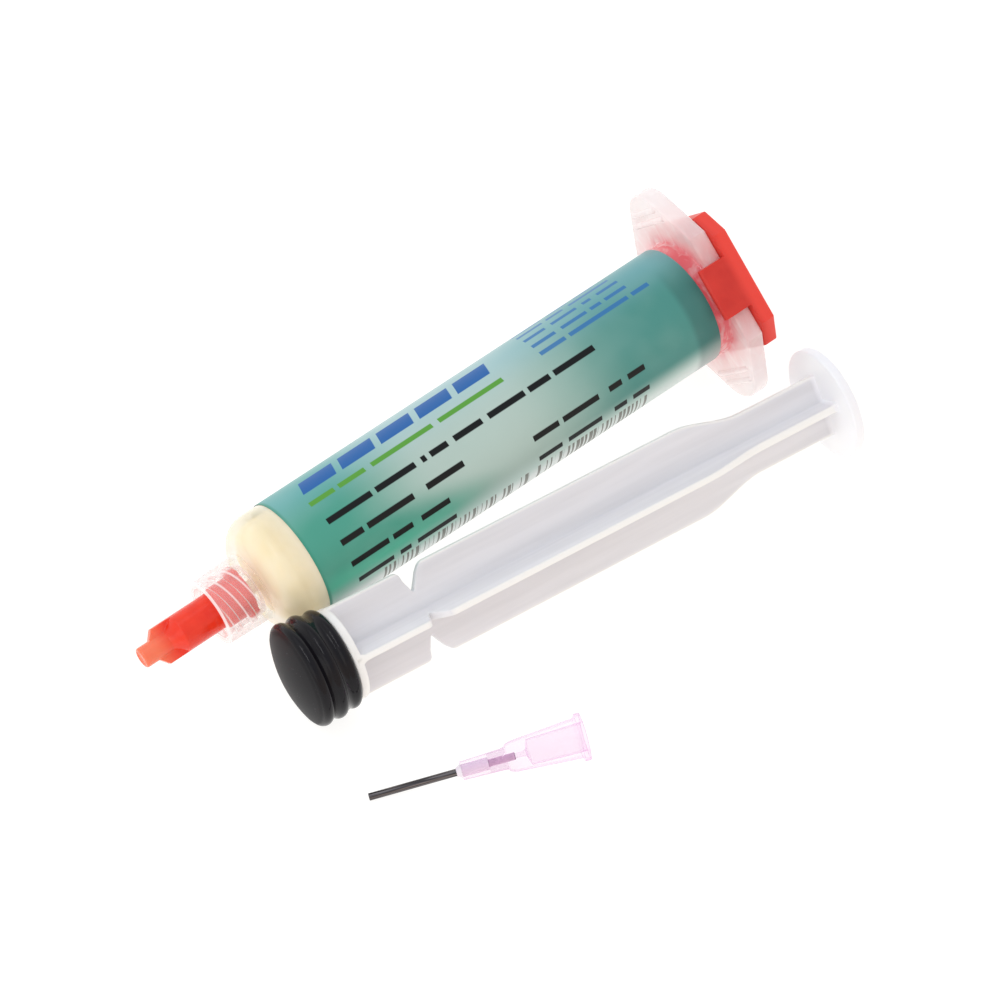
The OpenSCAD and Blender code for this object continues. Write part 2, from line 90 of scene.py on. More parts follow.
def drawRings(name, rings, start="face", end="face"):
    # a circle, extruded from ring to ring; each end is a face or a point, or it stays open
    clearSelection()
    bpy.ops.mesh.primitive_circle_add(vertices=len(rings[0]), radius=1, fill_type="NOTHING")
    piece = bpy.context.object
    piece.name = piece.data.name = name
    bpy.ops.object.mode_set(mode="EDIT")
    bpy.ops.mesh.select_mode(type="VERT")
    mesh = bmesh.from_edit_mesh(piece.data)
    for layer in ("slot", "row"):
        mesh.verts.layers.int.new(layer)
    mesh, slots, _ = openRings(piece)
    for i, v in enumerate(mesh.verts):
        v[slots] = i
        v.co = rings[0][i]
    bmesh.update_edit_mesh(piece.data)
    bpy.ops.mesh.select_all(action="SELECT")
    for row, ring in enumerate(rings[1:], 1):
        bpy.ops.mesh.extrude_region_move()
        mesh, slots, rows = openRings(piece)
        for v in mesh.verts:
            if v.select:
                v[rows] = row
                v.co = ring[v[slots]]
        bmesh.update_edit_mesh(piece.data)
    for row, how in ((0, start), (len(rings) - 1, end)):
        if how != "open":
            pickRow(piece, row)
        if how == "face":
            bpy.ops.mesh.edge_face_add()
        elif how == "point":
            bpy.ops.mesh.extrude_region_move()
            bpy.ops.mesh.merge(type="CENTER")
    bpy.ops.mesh.select_all(action="SELECT")
    bpy.ops.mesh.normals_make_consistent(inside=False)
    bpy.ops.object.mode_set(mode="OBJECT")
    return piece


def softProfile(points, steps=4):
    # (r, z) stays a corner, (r, z, radius) is rounded
    out = []
    last = len(points) - 1
    for i, p in enumerate(points):
        if len(p) == 2 or i in (0, last):
            out.append((p[0], p[1]))
            continue
        at = Vector(p[:2])
        back, on = Vector(points[i - 1][:2]) - at, Vector(points[i + 1][:2]) - at
        half = back.angle(on) / 2
        cut = min(p[2] / max(math.tan(half), 0.05), back.length * 0.48, on.length * 0.48)
        a, b = at + back.normalized() * cut, at + on.normalized() * cut
        for s in range(steps + 1):
            t = s / steps
            q = a * (1 - t) ** 2 + at * 2 * t * (1 - t) + b * t ** 2
            out.append((q.x, q.y))
    return out


def arcPoints(r0, z0, radius, fromDeg, toDeg, steps):
    angles = [math.radians(fromDeg + (toDeg - fromDeg) * i / steps) for i in range(steps + 1)]
    return [(r0 + radius * math.cos(a), z0 + radius * math.sin(a)) for a in angles]


def linePoints(a, b, steps):
    # from a towards b, without b
    return [(a[0] + (b[0] - a[0]) * i / steps, a[1] + (b[1] - a[1]) * i / steps) for i in range(steps)]


def ringAt(angles, r, z):
    return [(r * math.cos(a), r * math.sin(a), z) for a in angles]


def evenAngles(sides):
    return [2 * math.pi * i / sides for i in range(sides)]


def turnPiece(name, profile, sides=96, start="point", end="point"):
    angles = evenAngles(sides)
    return drawRings(name, [ringAt(angles, r, z) for r, z in profile], start, end)


def roundEdges(piece, width):
    takeUp(piece)
    mod = piece.modifiers.new("rounded", "BEVEL")
    mod.width, mod.segments, mod.limit_method = width, 3, "ANGLE"
    mod.angle_limit = math.radians(35)
    bpy.ops.object.modifier_apply(modifier=mod.name)


def weldOn(piece, other):
    takeUp(piece)
    mod = piece.modifiers.new("weld", "BOOLEAN")
    mod.operation, mod.object, mod.solver = "UNION", other, "EXACT"
    bpy.ops.object.modifier_apply(modifier=mod.name)
    bpy.data.objects.remove(other)


def settle(piece, finish, smoothDeg, group, body, node):
    # a piece's last step: shading, finish, its place on the table, and the solid that it stands for
    takeUp(piece)
    bpy.ops.object.shade_smooth_by_angle(angle=math.radians(smoothDeg))
    piece.data.materials.append(finish)
    # it keeps its own upright place in mm, for patterns that run along or round it
    own = piece.data.attributes.new("own", "FLOAT_VECTOR", "POINT")
    for i, v in enumerate(piece.data.vertices):
        own.data[i].vector = v.co
    piece.matrix_world = lyingPlace(group)
    bpy.ops.object.transform_apply(location=True, rotation=True, scale=True)
    for layer in ("slot", "row"):
        if layer in piece.data.attributes:
            piece.data.attributes.remove(piece.data.attributes[layer])
    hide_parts(node)
    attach(piece, body)


# Colours and shader nodes

def paint(hexColour):
    # sRGB hex to the linear values that the shaders take
    out = []
    for i in (1, 3, 5):
        c = int(hexColour[i:i + 2], 16) / 255
        out.append(c / 12.92 if c <= 0.04045 else ((c + 0.055) / 1.055) ** 2.4)
    return (*out, 1.0)


def addNode(tree, kind, settings=None, links=None):
    node = tree.nodes.new(kind)
    for key, value in (settings or {}).items():
        if key == "stops":
            # a ramp's places and its colours there, as hex or as plain values
            stops = node.color_ramp.elements
            stops.remove(stops[1])
            for i, (at, colour) in enumerate(value):
                stop = stops.new(at) if i else stops[0]
                stop.position = at
                stop.color = paint(colour) if isinstance(colour, str) else colour
        elif isinstance(key, str) and key[0].islower():
            setattr(node, key, value)
        else:
            node.inputs[key].default_value = value
    for key, source in (links or {}).items():
        tree.links.new(source, node.inputs[key])
    return node


def newFinish(name, settings):
    finish = bpy.data.materials.new(name)
    finish.use_nodes = True
    tree = finish.node_tree
    tree.nodes.clear()
    skin = addNode(tree, "ShaderNodeBsdfPrincipled", settings)
    addNode(tree, "ShaderNodeOutputMaterial", None, {"Surface": skin.outputs[0]})
    where = addNode(tree, "ShaderNodeTexCoord")
    return finish, tree, skin, where.outputs["Object"]


def ownPlace(tree):
    # a piece's own upright place in mm, whole and as x, y, z
    own = addNode(tree, "ShaderNodeAttribute", {"attribute_name": "own"}).outputs["Vector"]
    return own, addNode(tree, "ShaderNodeSeparateXYZ", None, {0: own}).outputs


def fromAxis(tree, own):
    # mm out from a piece's own axis
    flat = addNode(tree, "ShaderNodeVectorMath", {"operation": "MULTIPLY", 1: (1, 1, 0)}, {0: own})
    out = addNode(tree, "ShaderNodeVectorMath", {"operation": "LENGTH"}, {0: flat.outputs[0]})
    return out.outputs["Value"]


def grainBump(tree, skin, where, sizeMm, strength, depth, detail=2.0):
    # fine unevenness of a surface, its depth in metres
    grain = addNode(tree, "ShaderNodeTexNoise", {"Scale": 1000 / sizeMm, "Detail": detail}, {"Vector": where})
    bump = addNode(tree, "ShaderNodeBump", {"Strength": strength, "Distance": depth},
                   {"Height": grain.outputs["Fac"]})
    tree.links.new(bump.outputs[0], skin.inputs["Normal"])
    return grain.outputs["Fac"]


def drawnClouds(tree, sizeMm, detail, distortion=0.0):
    # noise in a piece's own place, drawn out to a size along each axis
    own = addNode(tree, "ShaderNodeAttribute", {"attribute_name": "own"}).outputs["Vector"]
    spread = addNode(tree, "ShaderNodeMapping", {"Scale": [1 / size for size in sizeMm]}, {"Vector": own})
    return addNode(tree, "ShaderNodeTexNoise", {"Scale": 1.0, "Detail": detail, "Distortion": distortion},
                   {"Vector": spread.outputs[0]}).outputs["Fac"]


def rampInMm(tree, measure, low, high, stops):
    # a colour ramp over a measure, with its stops at places in mm
    share = addNode(tree, "ShaderNodeMapRange", {1: low, 2: high}, {0: measure})
    return addNode(tree, "ShaderNodeValToRGB",
                   {"stops": [((at - low) / (high - low), colour) for at, colour in stops]},
                   {"Fac": share.outputs[0]})


def insideBand(tree, value, low, high, soft=0.12):
    # 1 between low and high, with an edge as soft as given
    up = addNode(tree, "ShaderNodeMapRange", {1: low - soft / 2, 2: low + soft / 2}, {0: value})
    down = addNode(tree, "ShaderNodeMapRange",
                   {1: high - soft / 2, 2: high + soft / 2, 3: 1.0, 4: 0.0}, {0: value})
    return mergeMasks(tree, "MULTIPLY", up.outputs[0], down.outputs[0])


def fadeField(tree, *fades):
    # the product of smooth fades, each a measure, the places where it starts and ends, and its values there
    fields = [addNode(tree, "ShaderNodeMapRange", {
        "interpolation_type": "SMOOTHSTEP", 1: start, 2: end, 3: before, 4: after}, {0: measure}).outputs[0]
        for measure, start, end, before, after in fades]
    return mergeMasks(tree, "MULTIPLY", *fields)


def mergeMasks(tree, how, *masks):
    # MULTIPLY keeps what all of them cover, MAXIMUM what any of them covers
    total = masks[0]
    for mask in masks[1:]:
        total = addNode(tree, "ShaderNodeMath", {"operation": how}, {0: total, 1: mask}).outputs[0]
    return total


def tintBy(tree, under, mask, hexColour, amount=1.0):
    # lays one colour over what is under it
    if amount != 1.0:
        mask = addNode(tree, "ShaderNodeMath", {"operation": "MULTIPLY", 1: amount}, {0: mask}).outputs[0]
    return addNode(tree, "ShaderNodeMix", {"data_type": "RGBA", 7: paint(hexColour)},
                   {"Factor": mask, 6: under}).outputs[2]


# Clear polypropylene, injection moulded: glossy, slightly milky, soft flow waves
def clearPolypropylene():
    look = {"roughness": 0.14, "waveMm": 2.2, "white": "#FFF7F5", "streakMm": (1.7, 5.0, 1.7),
            # mm along the barrel, colour, cover seen face on, cover seen edge on
            "along": ((6.6, "#FAF0EE", 0.14, 0.72), (8.2, "#F8EED2", 0.3, 0.98),
                      # painted light: from 13.8 to 14.6 mm the wall is painted more opaque and cream,
                      # lightening the shade under the label's front edge
                      (11.5, "#F8EED2", 0.3, 0.98), (13.8, "#FAF0D6", 0.7, 0.98),
                      (14.6, "#FAF0D6", 0.7, 0.98), (18.0, "#FBF1EF", 0.16, 0.72),
                      (85.6, "#FBF1EF", 0.16, 0.72), (86.7, "#FBF1EF", 0.56, 0.9)),
            # mm out from the axis, colour of the painted red glow that the red cap casts into the flange
            "paintedCapGlow": ((9.5, "#F36670"), (9.8, "#F8A8AC"), (11.0, "#FBD2D1"), (13.0, "#FCE4E3"),
                      (16.0, "#FBF0EF")),
            # where the lines show: share of a turn off the groove's middle, mm along, mm out
            "flank": (0.2, 0.27, 0.05), "collar": (0.7, 6.4, 0.5), "wall": (3.9, 4.6, 0.1),
            "mouth": (-0.5, 0.22, 0.1)}
    # painted glow: a faint emission in its own colour stands in for a little of the light that comes through
    # it
    finish, tree, skin, where = newFinish("clearPolypropylene", {
        "IOR": 1.49, "Roughness": look["roughness"], "Coat Weight": 0.6, "Coat Roughness": 0.05,
        "Subsurface Weight": 0.3, "Subsurface Scale": 0.002, "Subsurface Radius": (1.0, 0.95, 0.88),
        "Emission Strength": 0.08})
    grainBump(tree, skin, where, look["waveMm"], 0.25, 0.0002)
    own, axes = ownPlace(tree)
    out = fromAxis(tree, own)

    # what stands behind the wall fills it: clear collar, paste in the nose, and in the flange a painted red
    # glow from the cap
    tint = rampInMm(tree, axes[2], 0, 100, [(at, colour) for at, colour, _, _ in look["along"]])
    cover = rampInMm(tree, axes[2], 0, 100, [(at, (face, edge, 0, 1)) for at, _, face, edge in look["along"]])
    # painted light: the flange is painted pink to red towards the tube, as glow from the red cap
    paintedCapGlow = rampInMm(tree, out, 0, 20, look["paintedCapGlow"])
    # white streaks of the melt in the flange
    streak = drawnClouds(tree, look["streakMm"], 3.0, 0.8)
    pale = addNode(tree, "ShaderNodeMapRange", {1: 0.46, 2: 0.68, 4: 0.5}, {0: streak})
    flange = tintBy(tree, paintedCapGlow.outputs[0], pale.outputs[0], look["white"])
    rear = addNode(tree, "ShaderNodeMapRange", {1: 86.2, 2: 86.8}, {0: axes[2]})
    body = addNode(tree, "ShaderNodeMix", {"data_type": "RGBA"},
                   {"Factor": rear.outputs[0], 6: tint.outputs[0], 7: flange})

    # painted highlights: the flanks of the thread and the collar's mouth are painted with white lines where
    # they would catch the light
    way = addNode(tree, "ShaderNodeMath", {"operation": "ARCTAN2"}, {0: axes[1], 1: axes[0]})
    halves = addNode(tree, "ShaderNodeMath", {"operation": "MULTIPLY", 1: -1 / math.pi}, {0: way.outputs[0]})
    climb = addNode(tree, "ShaderNodeMath", {"operation": "MULTIPLY_ADD", 1: 2 / barrelSizes["threadLead"]},
                    {0: axes[2], 2: halves.outputs[0]})
    off = climb.outputs[0]
    for how, by in (("FRACT", 0.0), ("SUBTRACT", 0.5), ("ABSOLUTE", 0.0)):
        off = addNode(tree, "ShaderNodeMath", {"operation": how, 1: by}, {0: off}).outputs[0]
    thread = mergeMasks(tree, "MULTIPLY", insideBand(tree, off, *look["flank"]),
                        insideBand(tree, axes[2], *look["collar"]), insideBand(tree, out, *look["wall"]))
    paintedGlint = mergeMasks(tree, "MAXIMUM", thread, insideBand(tree, axes[2], *look["mouth"]))
    whole = tintBy(tree, body.outputs[2], paintedGlint, look["white"])
    tree.links.new(whole, skin.inputs["Base Color"])
    tree.links.new(whole, skin.inputs["Emission Color"])

    # as on glass, the wall hides more of what is behind it where it is seen edge on
    facing = addNode(tree, "ShaderNodeLayerWeight", {"Blend": 0.35})
    ends = addNode(tree, "ShaderNodeSeparateColor", None, {0: cover.outputs[0]})
    seen = addNode(tree, "ShaderNodeMapRange", {1: 0.3, 2: 0.85},
                   {0: facing.outputs["Facing"], 3: ends.outputs[0], 4: ends.outputs[1]})
    shut = addNode(tree, "ShaderNodeMath", {"operation": "MULTIPLY_ADD", "use_clamp": True, 1: 0.6},
                   {0: paintedGlint, 2: seen.outputs[0]})
    tree.links.new(shut.outputs[0], skin.inputs["Alpha"])
    return finish


# Rosin flux paste: smooth, wet, cream with paler streaks where it was filled
def rosinPaste():
    look = {"deep": "#EBDDB8", "pale": "#F3E8CC", "glow": "#FDEEC8", "lumpMm": 3.125,
            "streakMm": (3.2, 3.2, 16.0)}
    # painted glow: a faint cream emission lightens the paste all over, so that its shaded side stays bright
    finish, tree, skin, where = newFinish("rosinPaste", {
        "Roughness": 0.4, "IOR": 1.5, "Subsurface Weight": 0.8, "Subsurface Scale": 0.005,
        "Subsurface Radius": (1.0, 0.95, 0.8), "Specular IOR Level": 0.3,
        "Emission Color": paint(look["glow"]), "Emission Strength": 0.12})
    grainBump(tree, skin, where, look["lumpMm"], 0.15, 0.0002, 1.0)
    # streaks run with the paste's way into the barrel
    ramp = addNode(tree, "ShaderNodeValToRGB", {"stops": ((0.38, look["deep"]), (0.6, look["pale"]))},
                   {"Fac": drawnClouds(tree, look["streakMm"], 4.0, 0.6)})
    tree.links.new(ramp.outputs[0], skin.inputs["Base Color"])
    return finish


# Low-density polyethylene, dyed through and moulded: glossy, light goes a little way in
def redPolyethylene(name, look):
    finish, tree, skin, where = newFinish(name, {
        "Roughness": look["roughness"], "IOR": 1.51, "Subsurface Weight": 0.25,
        "Subsurface Scale": 0.0015, "Specular IOR Level": look["sheen"]})
    grainBump(tree, skin, where, look["grainMm"], 0.2, 0.00005)
    cloud = addNode(tree, "ShaderNodeTexNoise", {"Scale": 1000 / look["cloudMm"], "Detail": 3.0},
                    {"Vector": where})
    ramp = addNode(tree, "ShaderNodeValToRGB", {"stops": ((0.3, look["deep"]), (0.65, look["bright"]))},
                   {"Fac": cloud.outputs["Fac"]})
    # painted light: the nub and the fins, or the plate's rim, are painted paler, as light shines through
    # their thin walls
    _, axes = ownPlace(tree)
    thin = fadeField(tree, (axes[2], look["thickZ"], look["thinZ"], 0.0, look["thinAmount"]))
    tree.links.new(tintBy(tree, ramp.outputs[0], thin, look["thin"]), skin.inputs["Base Color"])
    return finish


# Natural polypropylene, unfilled: milky, light spreads inside the ribs
def milkyPolypropylene():
    look = {"milk": "#E0DFE1", "pale": "#EAE9EB", "edge": "#F8F6F1", "disc": "#F9F9FD",
            "grainMm": 0.7, "flowMm": (2.2, 2.2, 40.0), "edgeMm": 0.4}
    finish, tree, skin, where = newFinish("milkyPolypropylene", {
        "Roughness": 0.33, "IOR": 1.49, "Subsurface Weight": 0.35, "Subsurface Scale": 0.0012,
        "Subsurface Radius": (1.0, 0.96, 0.9)})
    grainBump(tree, skin, where, look["grainMm"], 0.12, 0.00005)
    # cloudy flow lines of the melt, drawn out along the ribs
    own, axes = ownPlace(tree)
    ramp = addNode(tree, "ShaderNodeValToRGB", {"stops": ((0.35, look["milk"]), (0.65, look["pale"]))},
                   {"Fac": drawnClouds(tree, look["flowMm"], 3.0)})
    # painted light: the ribs' outer edges and the thumb disc are painted paler, as light shines through where
    # they are thin
    p = plungerSizes
    rim = fadeField(tree, (axes[2], p["narrow"], p["narrow"] + p["narrowLength"],
                           p["rib"] - look["edgeMm"], p["ribRear"] - look["edgeMm"]))
    past = addNode(tree, "ShaderNodeMath", {"operation": "SUBTRACT"}, {0: fromAxis(tree, own), 1: rim})
    edge = addNode(tree, "ShaderNodeMapRange", {1: 0.0, 2: look["edgeMm"]}, {0: past.outputs[0]})
    rear = addNode(tree, "ShaderNodeMapRange", {1: p["thumb"] - 0.8, 2: p["thumb"]}, {0: axes[2]})
    colour = tintBy(tree, ramp.outputs[0], edge.outputs[0], look["edge"])
    colour = tintBy(tree, colour, rear.outputs[0], look["disc"])
    tree.links.new(colour, skin.inputs["Base Color"])
    return finish


# Butyl rubber, compression moulded: satin black with a fine bloom
def butylRubber():
    look = {"black": "#0B0A0D", "bloom": "#18161B", "dust": "#55535A", "grainMm": 0.25, "dustMm": 0.45,
            "faceRoughness": 0.5, "ringRoughness": 0.13}
    finish, tree, skin, where = newFinish("butylRubber", {"IOR": 1.45, "Specular IOR Level": 0.25})
    grain = grainBump(tree, skin, where, look["grainMm"], 0.2, 0.00003, 4.0)
    ramp = addNode(tree, "ShaderNodeValToRGB", {"stops": ((0.0, look["black"]), (1.0, look["bloom"]))},
                   {"Fac": grain})
    # the domed face is matt and picks up specks of dust, the sealing rings are wiped and glossy
    _, axes = ownPlace(tree)
    face = addNode(tree, "ShaderNodeMapRange", {1: 0.35, 2: -0.1}, {0: axes[2]})
    gloss = addNode(tree, "ShaderNodeMapRange", {3: look["ringRoughness"], 4: look["faceRoughness"]},
                    {0: face.outputs[0]})
    tree.links.new(gloss.outputs[0], skin.inputs["Roughness"])
    specks = addNode(tree, "ShaderNodeTexVoronoi", {"Scale": 1000 / look["dustMm"]}, {"Vector": where})
    small = addNode(tree, "ShaderNodeMapRange", {1: 0.2, 2: 0.08}, {0: specks.outputs["Distance"]})
    pick = addNode(tree, "ShaderNodeSeparateColor", None, {0: specks.outputs["Color"]})
    few = addNode(tree, "ShaderNodeMapRange", {1: 0.7, 2: 0.95, 4: 0.7}, {0: pick.outputs[0]})
    dust = mergeMasks(tree, "MULTIPLY", small.outputs[0], few.outputs[0], face.outputs[0])
    tree.links.new(tintBy(tree, ramp.outputs[0], dust, look["dust"]), skin.inputs["Base Color"])
    return finish


# Tinted polypropylene, injection moulded: clear pink
def pinkPolypropylene():
    look = {"neck": "#F3BFEC", "wall": "#F7CDF2", "flange": "#F2ACE9", "faceOn": 0.13, "edgeOn": 0.95,
            "roughness": 0.1, "waveMm": 1.2, "steel": "#DBB6D0", "patchMm": (1.0, 1.0, 1.0),
            # where the steel seen through it is painted grey: mm along, mm out
            "seat": (17.35, 21.1, 0.2), "neckReach": (-1.0, 1.7, 0.05)}
    finish, tree, skin, where = newFinish("pinkPolypropylene", {
        "IOR": 1.49, "Roughness": look["roughness"], "Coat Weight": 0.5, "Coat Roughness": 0.05})
    grainBump(tree, skin, where, look["waveMm"], 0.15, 0.0001)
    # solid neck, thin wall round the socket, thick flange: each shows its own depth of pink
    own, axes = ownPlace(tree)
    ramp = rampInMm(tree, axes[2], 13, 33, (
        (22.0, look["neck"]), (23.8, look["wall"]), (30.0, look["wall"]), (30.6, look["flange"])))
    facing = addNode(tree, "ShaderNodeLayerWeight", {"Blend": 0.35})
    body = addNode(tree, "ShaderNodeMapRange", {1: 0.3, 2: 1.0, 3: look["faceOn"], 4: look["edgeOn"]},
                   {0: facing.outputs["Facing"]})
    # painted refraction: grey patches on the wall of the steel's seat, and a little on the neck round it,
    # stand in for the steel seen through the clear plastic
    out = fromAxis(tree, own)
    share = addNode(tree, "ShaderNodeMapRange", {1: 0.6, 2: 0.8, 3: 1.0, 4: 0.3}, {0: out})
    some = addNode(tree, "ShaderNodeMapRange", {1: 0.35, 2: 0.65, 3: 0.9, 4: 0.5},
                   {0: drawnClouds(tree, look["patchMm"], 2.0)})
    paintedSteelSeen = mergeMasks(tree, "MULTIPLY", share.outputs[0], some.outputs[0],
                      insideBand(tree, axes[2], *look["seat"]), insideBand(tree, out, *look["neckReach"]))
    tree.links.new(tintBy(tree, ramp.outputs[0], paintedSteelSeen, look["steel"]), skin.inputs["Base Color"])
    shut = addNode(tree, "ShaderNodeMath", {"operation": "MULTIPLY_ADD", "use_clamp": True, 1: 0.8},
                   {0: paintedSteelSeen, 2: body.outputs[0]})
    tree.links.new(shut.outputs[0], skin.inputs["Alpha"])
    return finish


# Stainless steel tube, drawn: long fine scratches along it
def drawnSteel():
    look = {"steel": "#454243", "worn": "#8A8484", "roughness": 0.12, "scratchMm": (0.12, 0.12, 5.0)}
    finish, tree, skin, _ = newFinish("drawnSteel", {"Metallic": 1.0, "Roughness": look["roughness"]})
    lines = drawnClouds(tree, look["scratchMm"], 2.0)
    bump = addNode(tree, "ShaderNodeBump", {"Strength": 0.25, "Distance": 0.00002}, {"Height": lines})
    tree.links.new(bump.outputs[0], skin.inputs["Normal"])
    ramp = addNode(tree, "ShaderNodeValToRGB", {"stops": ((0.4, look["steel"]), (0.7, look["worn"]))},
                   {"Fac": lines})
    tree.links.new(ramp.outputs[0], skin.inputs["Base Color"])
    return finish


# Cured epoxy: glassy on its skin, cloudy inside, so that it hides the steel
def curedEpoxy():
    look = {"cloud": "#FBEBF8", "clearer": "#FFFAFF", "cloudMm": 0.6}
    finish, tree, skin, where = newFinish("curedEpoxy", {
        "Roughness": 0.2, "IOR": 1.5, "Transmission Weight": 0.1})
    cloud = grainBump(tree, skin, where, look["cloudMm"], 0.15, 0.00005)
    ramp = addNode(tree, "ShaderNodeValToRGB", {"stops": ((0.0, look["cloud"]), (1.0, look["clearer"]))},
                   {"Fac": cloud})
    tree.links.new(ramp.outputs[0], skin.inputs["Base Color"])
    return finish


# The label's print is drawn on its own map: x is the way round in mm, y the way along.
# The rows of an ink follow its amount: each has the degrees round the barrel of its foot,
# its height in mm, and the places along the barrel where its bars start and end.
labelPrintAndPaintedLight = {
    # besides the print's inks: sky, bright and white are painted light, shade is painted shade, and pale is
    # painted light at the bottom and also the ink's faint cloudiness
    "teal": "#4E9F8B", "mint": "#B6CBC2", "rearTeal": "#4D9188", "sky": "#8FC6D8", "moss": "#3F947E",
    "bright": "#6AD6B4", "pale": "#D6EAE2", "white": "#F6F9F7", "shade": "#2E4E4E",
    "blue": "#1C62A8", "green": "#5BA03C", "ink": "#060909", "softBlue": "#2A6FB0", "tick": "#6E6D63",
    "radius": 9.42, "grainMm": 2.5, "cloudMm": 10.0,
    "blocks": {"foot": 125.5, "high": 3.1, "from": 19.2, "to": 53.6, "step": 6.96, "long": 5.9, "slant": 0.3},
    "rows": (
        ("green", 1.0, ((141.4, 0.85, (18.6, 23, 23.6, 28.2, 29.3, 40.4, 41.5, 53.5)),)),
        ("softBlue", 0.85, (
            (92.0, 0.7, (60.4, 66, 67, 71, 72, 76)),
            (104.0, 0.7, (60.4, 64.9, 66, 69, 70, 77.6)),
            (116.5, 0.7, (60.4, 64.4, 65.6, 70.2, 71.3, 73, 74.2, 78.1)),
            (129.0, 0.7, (60.3, 64.6, 65.8, 70.4, 71.4, 73.1, 74, 77.8)),
            (140.8, 0.75, (60.4, 65, 65.8, 76.6, 77.4, 80.8)))),
        ("ink", 1.0, (
            (163.8, 0.95, (18.9, 26.7, 27.5, 34.5, 35.9, 36.6, 37.4, 40.3, 41.5, 46.5, 47.9, 54.3,
                           55.2, 59.1, 59.9, 67.3)),
            (186.0, 0.95, (19.1, 22.7, 23.5, 31.9, 34, 40.8)),
            (208.0, 0.95, (19.1, 25.4, 26.2, 29.8, 31.5, 36.6)),
            (228.5, 0.95, (19.5, 25.4, 26.6, 28.6, 29.9, 36.9)),
            (203.5, 0.95, (52, 56.8, 57.8, 64.2, 66.2, 68.6, 69.6, 72.8)),
            (226.5, 0.95, (52.2, 56.5, 57.7, 63.9, 66.4, 68.7, 69.7, 72.9)))),
    ),
    "ticks": {"foot": 257.0, "high": 4.1, "from": 23.6, "to": 72.6, "perMm": 1.25},
}


def rowSpan(footDeg, high):
    # a row's head and foot as mm round the barrel
    foot = math.radians(footDeg) * labelPrintAndPaintedLight["radius"]
    return foot - high, foot


def barRow(tree, around, along, footDeg, high, bars):
    # a row of plain bars of uneven length, by a ramp that steps from black to white and back
    black, white = (0, 0, 0, 1), (1, 1, 1, 1)
    ramp = rampInMm(tree, along, 0, 100, [(0, black)] + [
        (place, black if i % 2 else white) for i, place in enumerate(bars)])
    ramp.color_ramp.interpolation = "CONSTANT"
    return mergeMasks(tree, "MULTIPLY", ramp.outputs[0], insideBand(tree, around, *rowSpan(footDeg, high)))


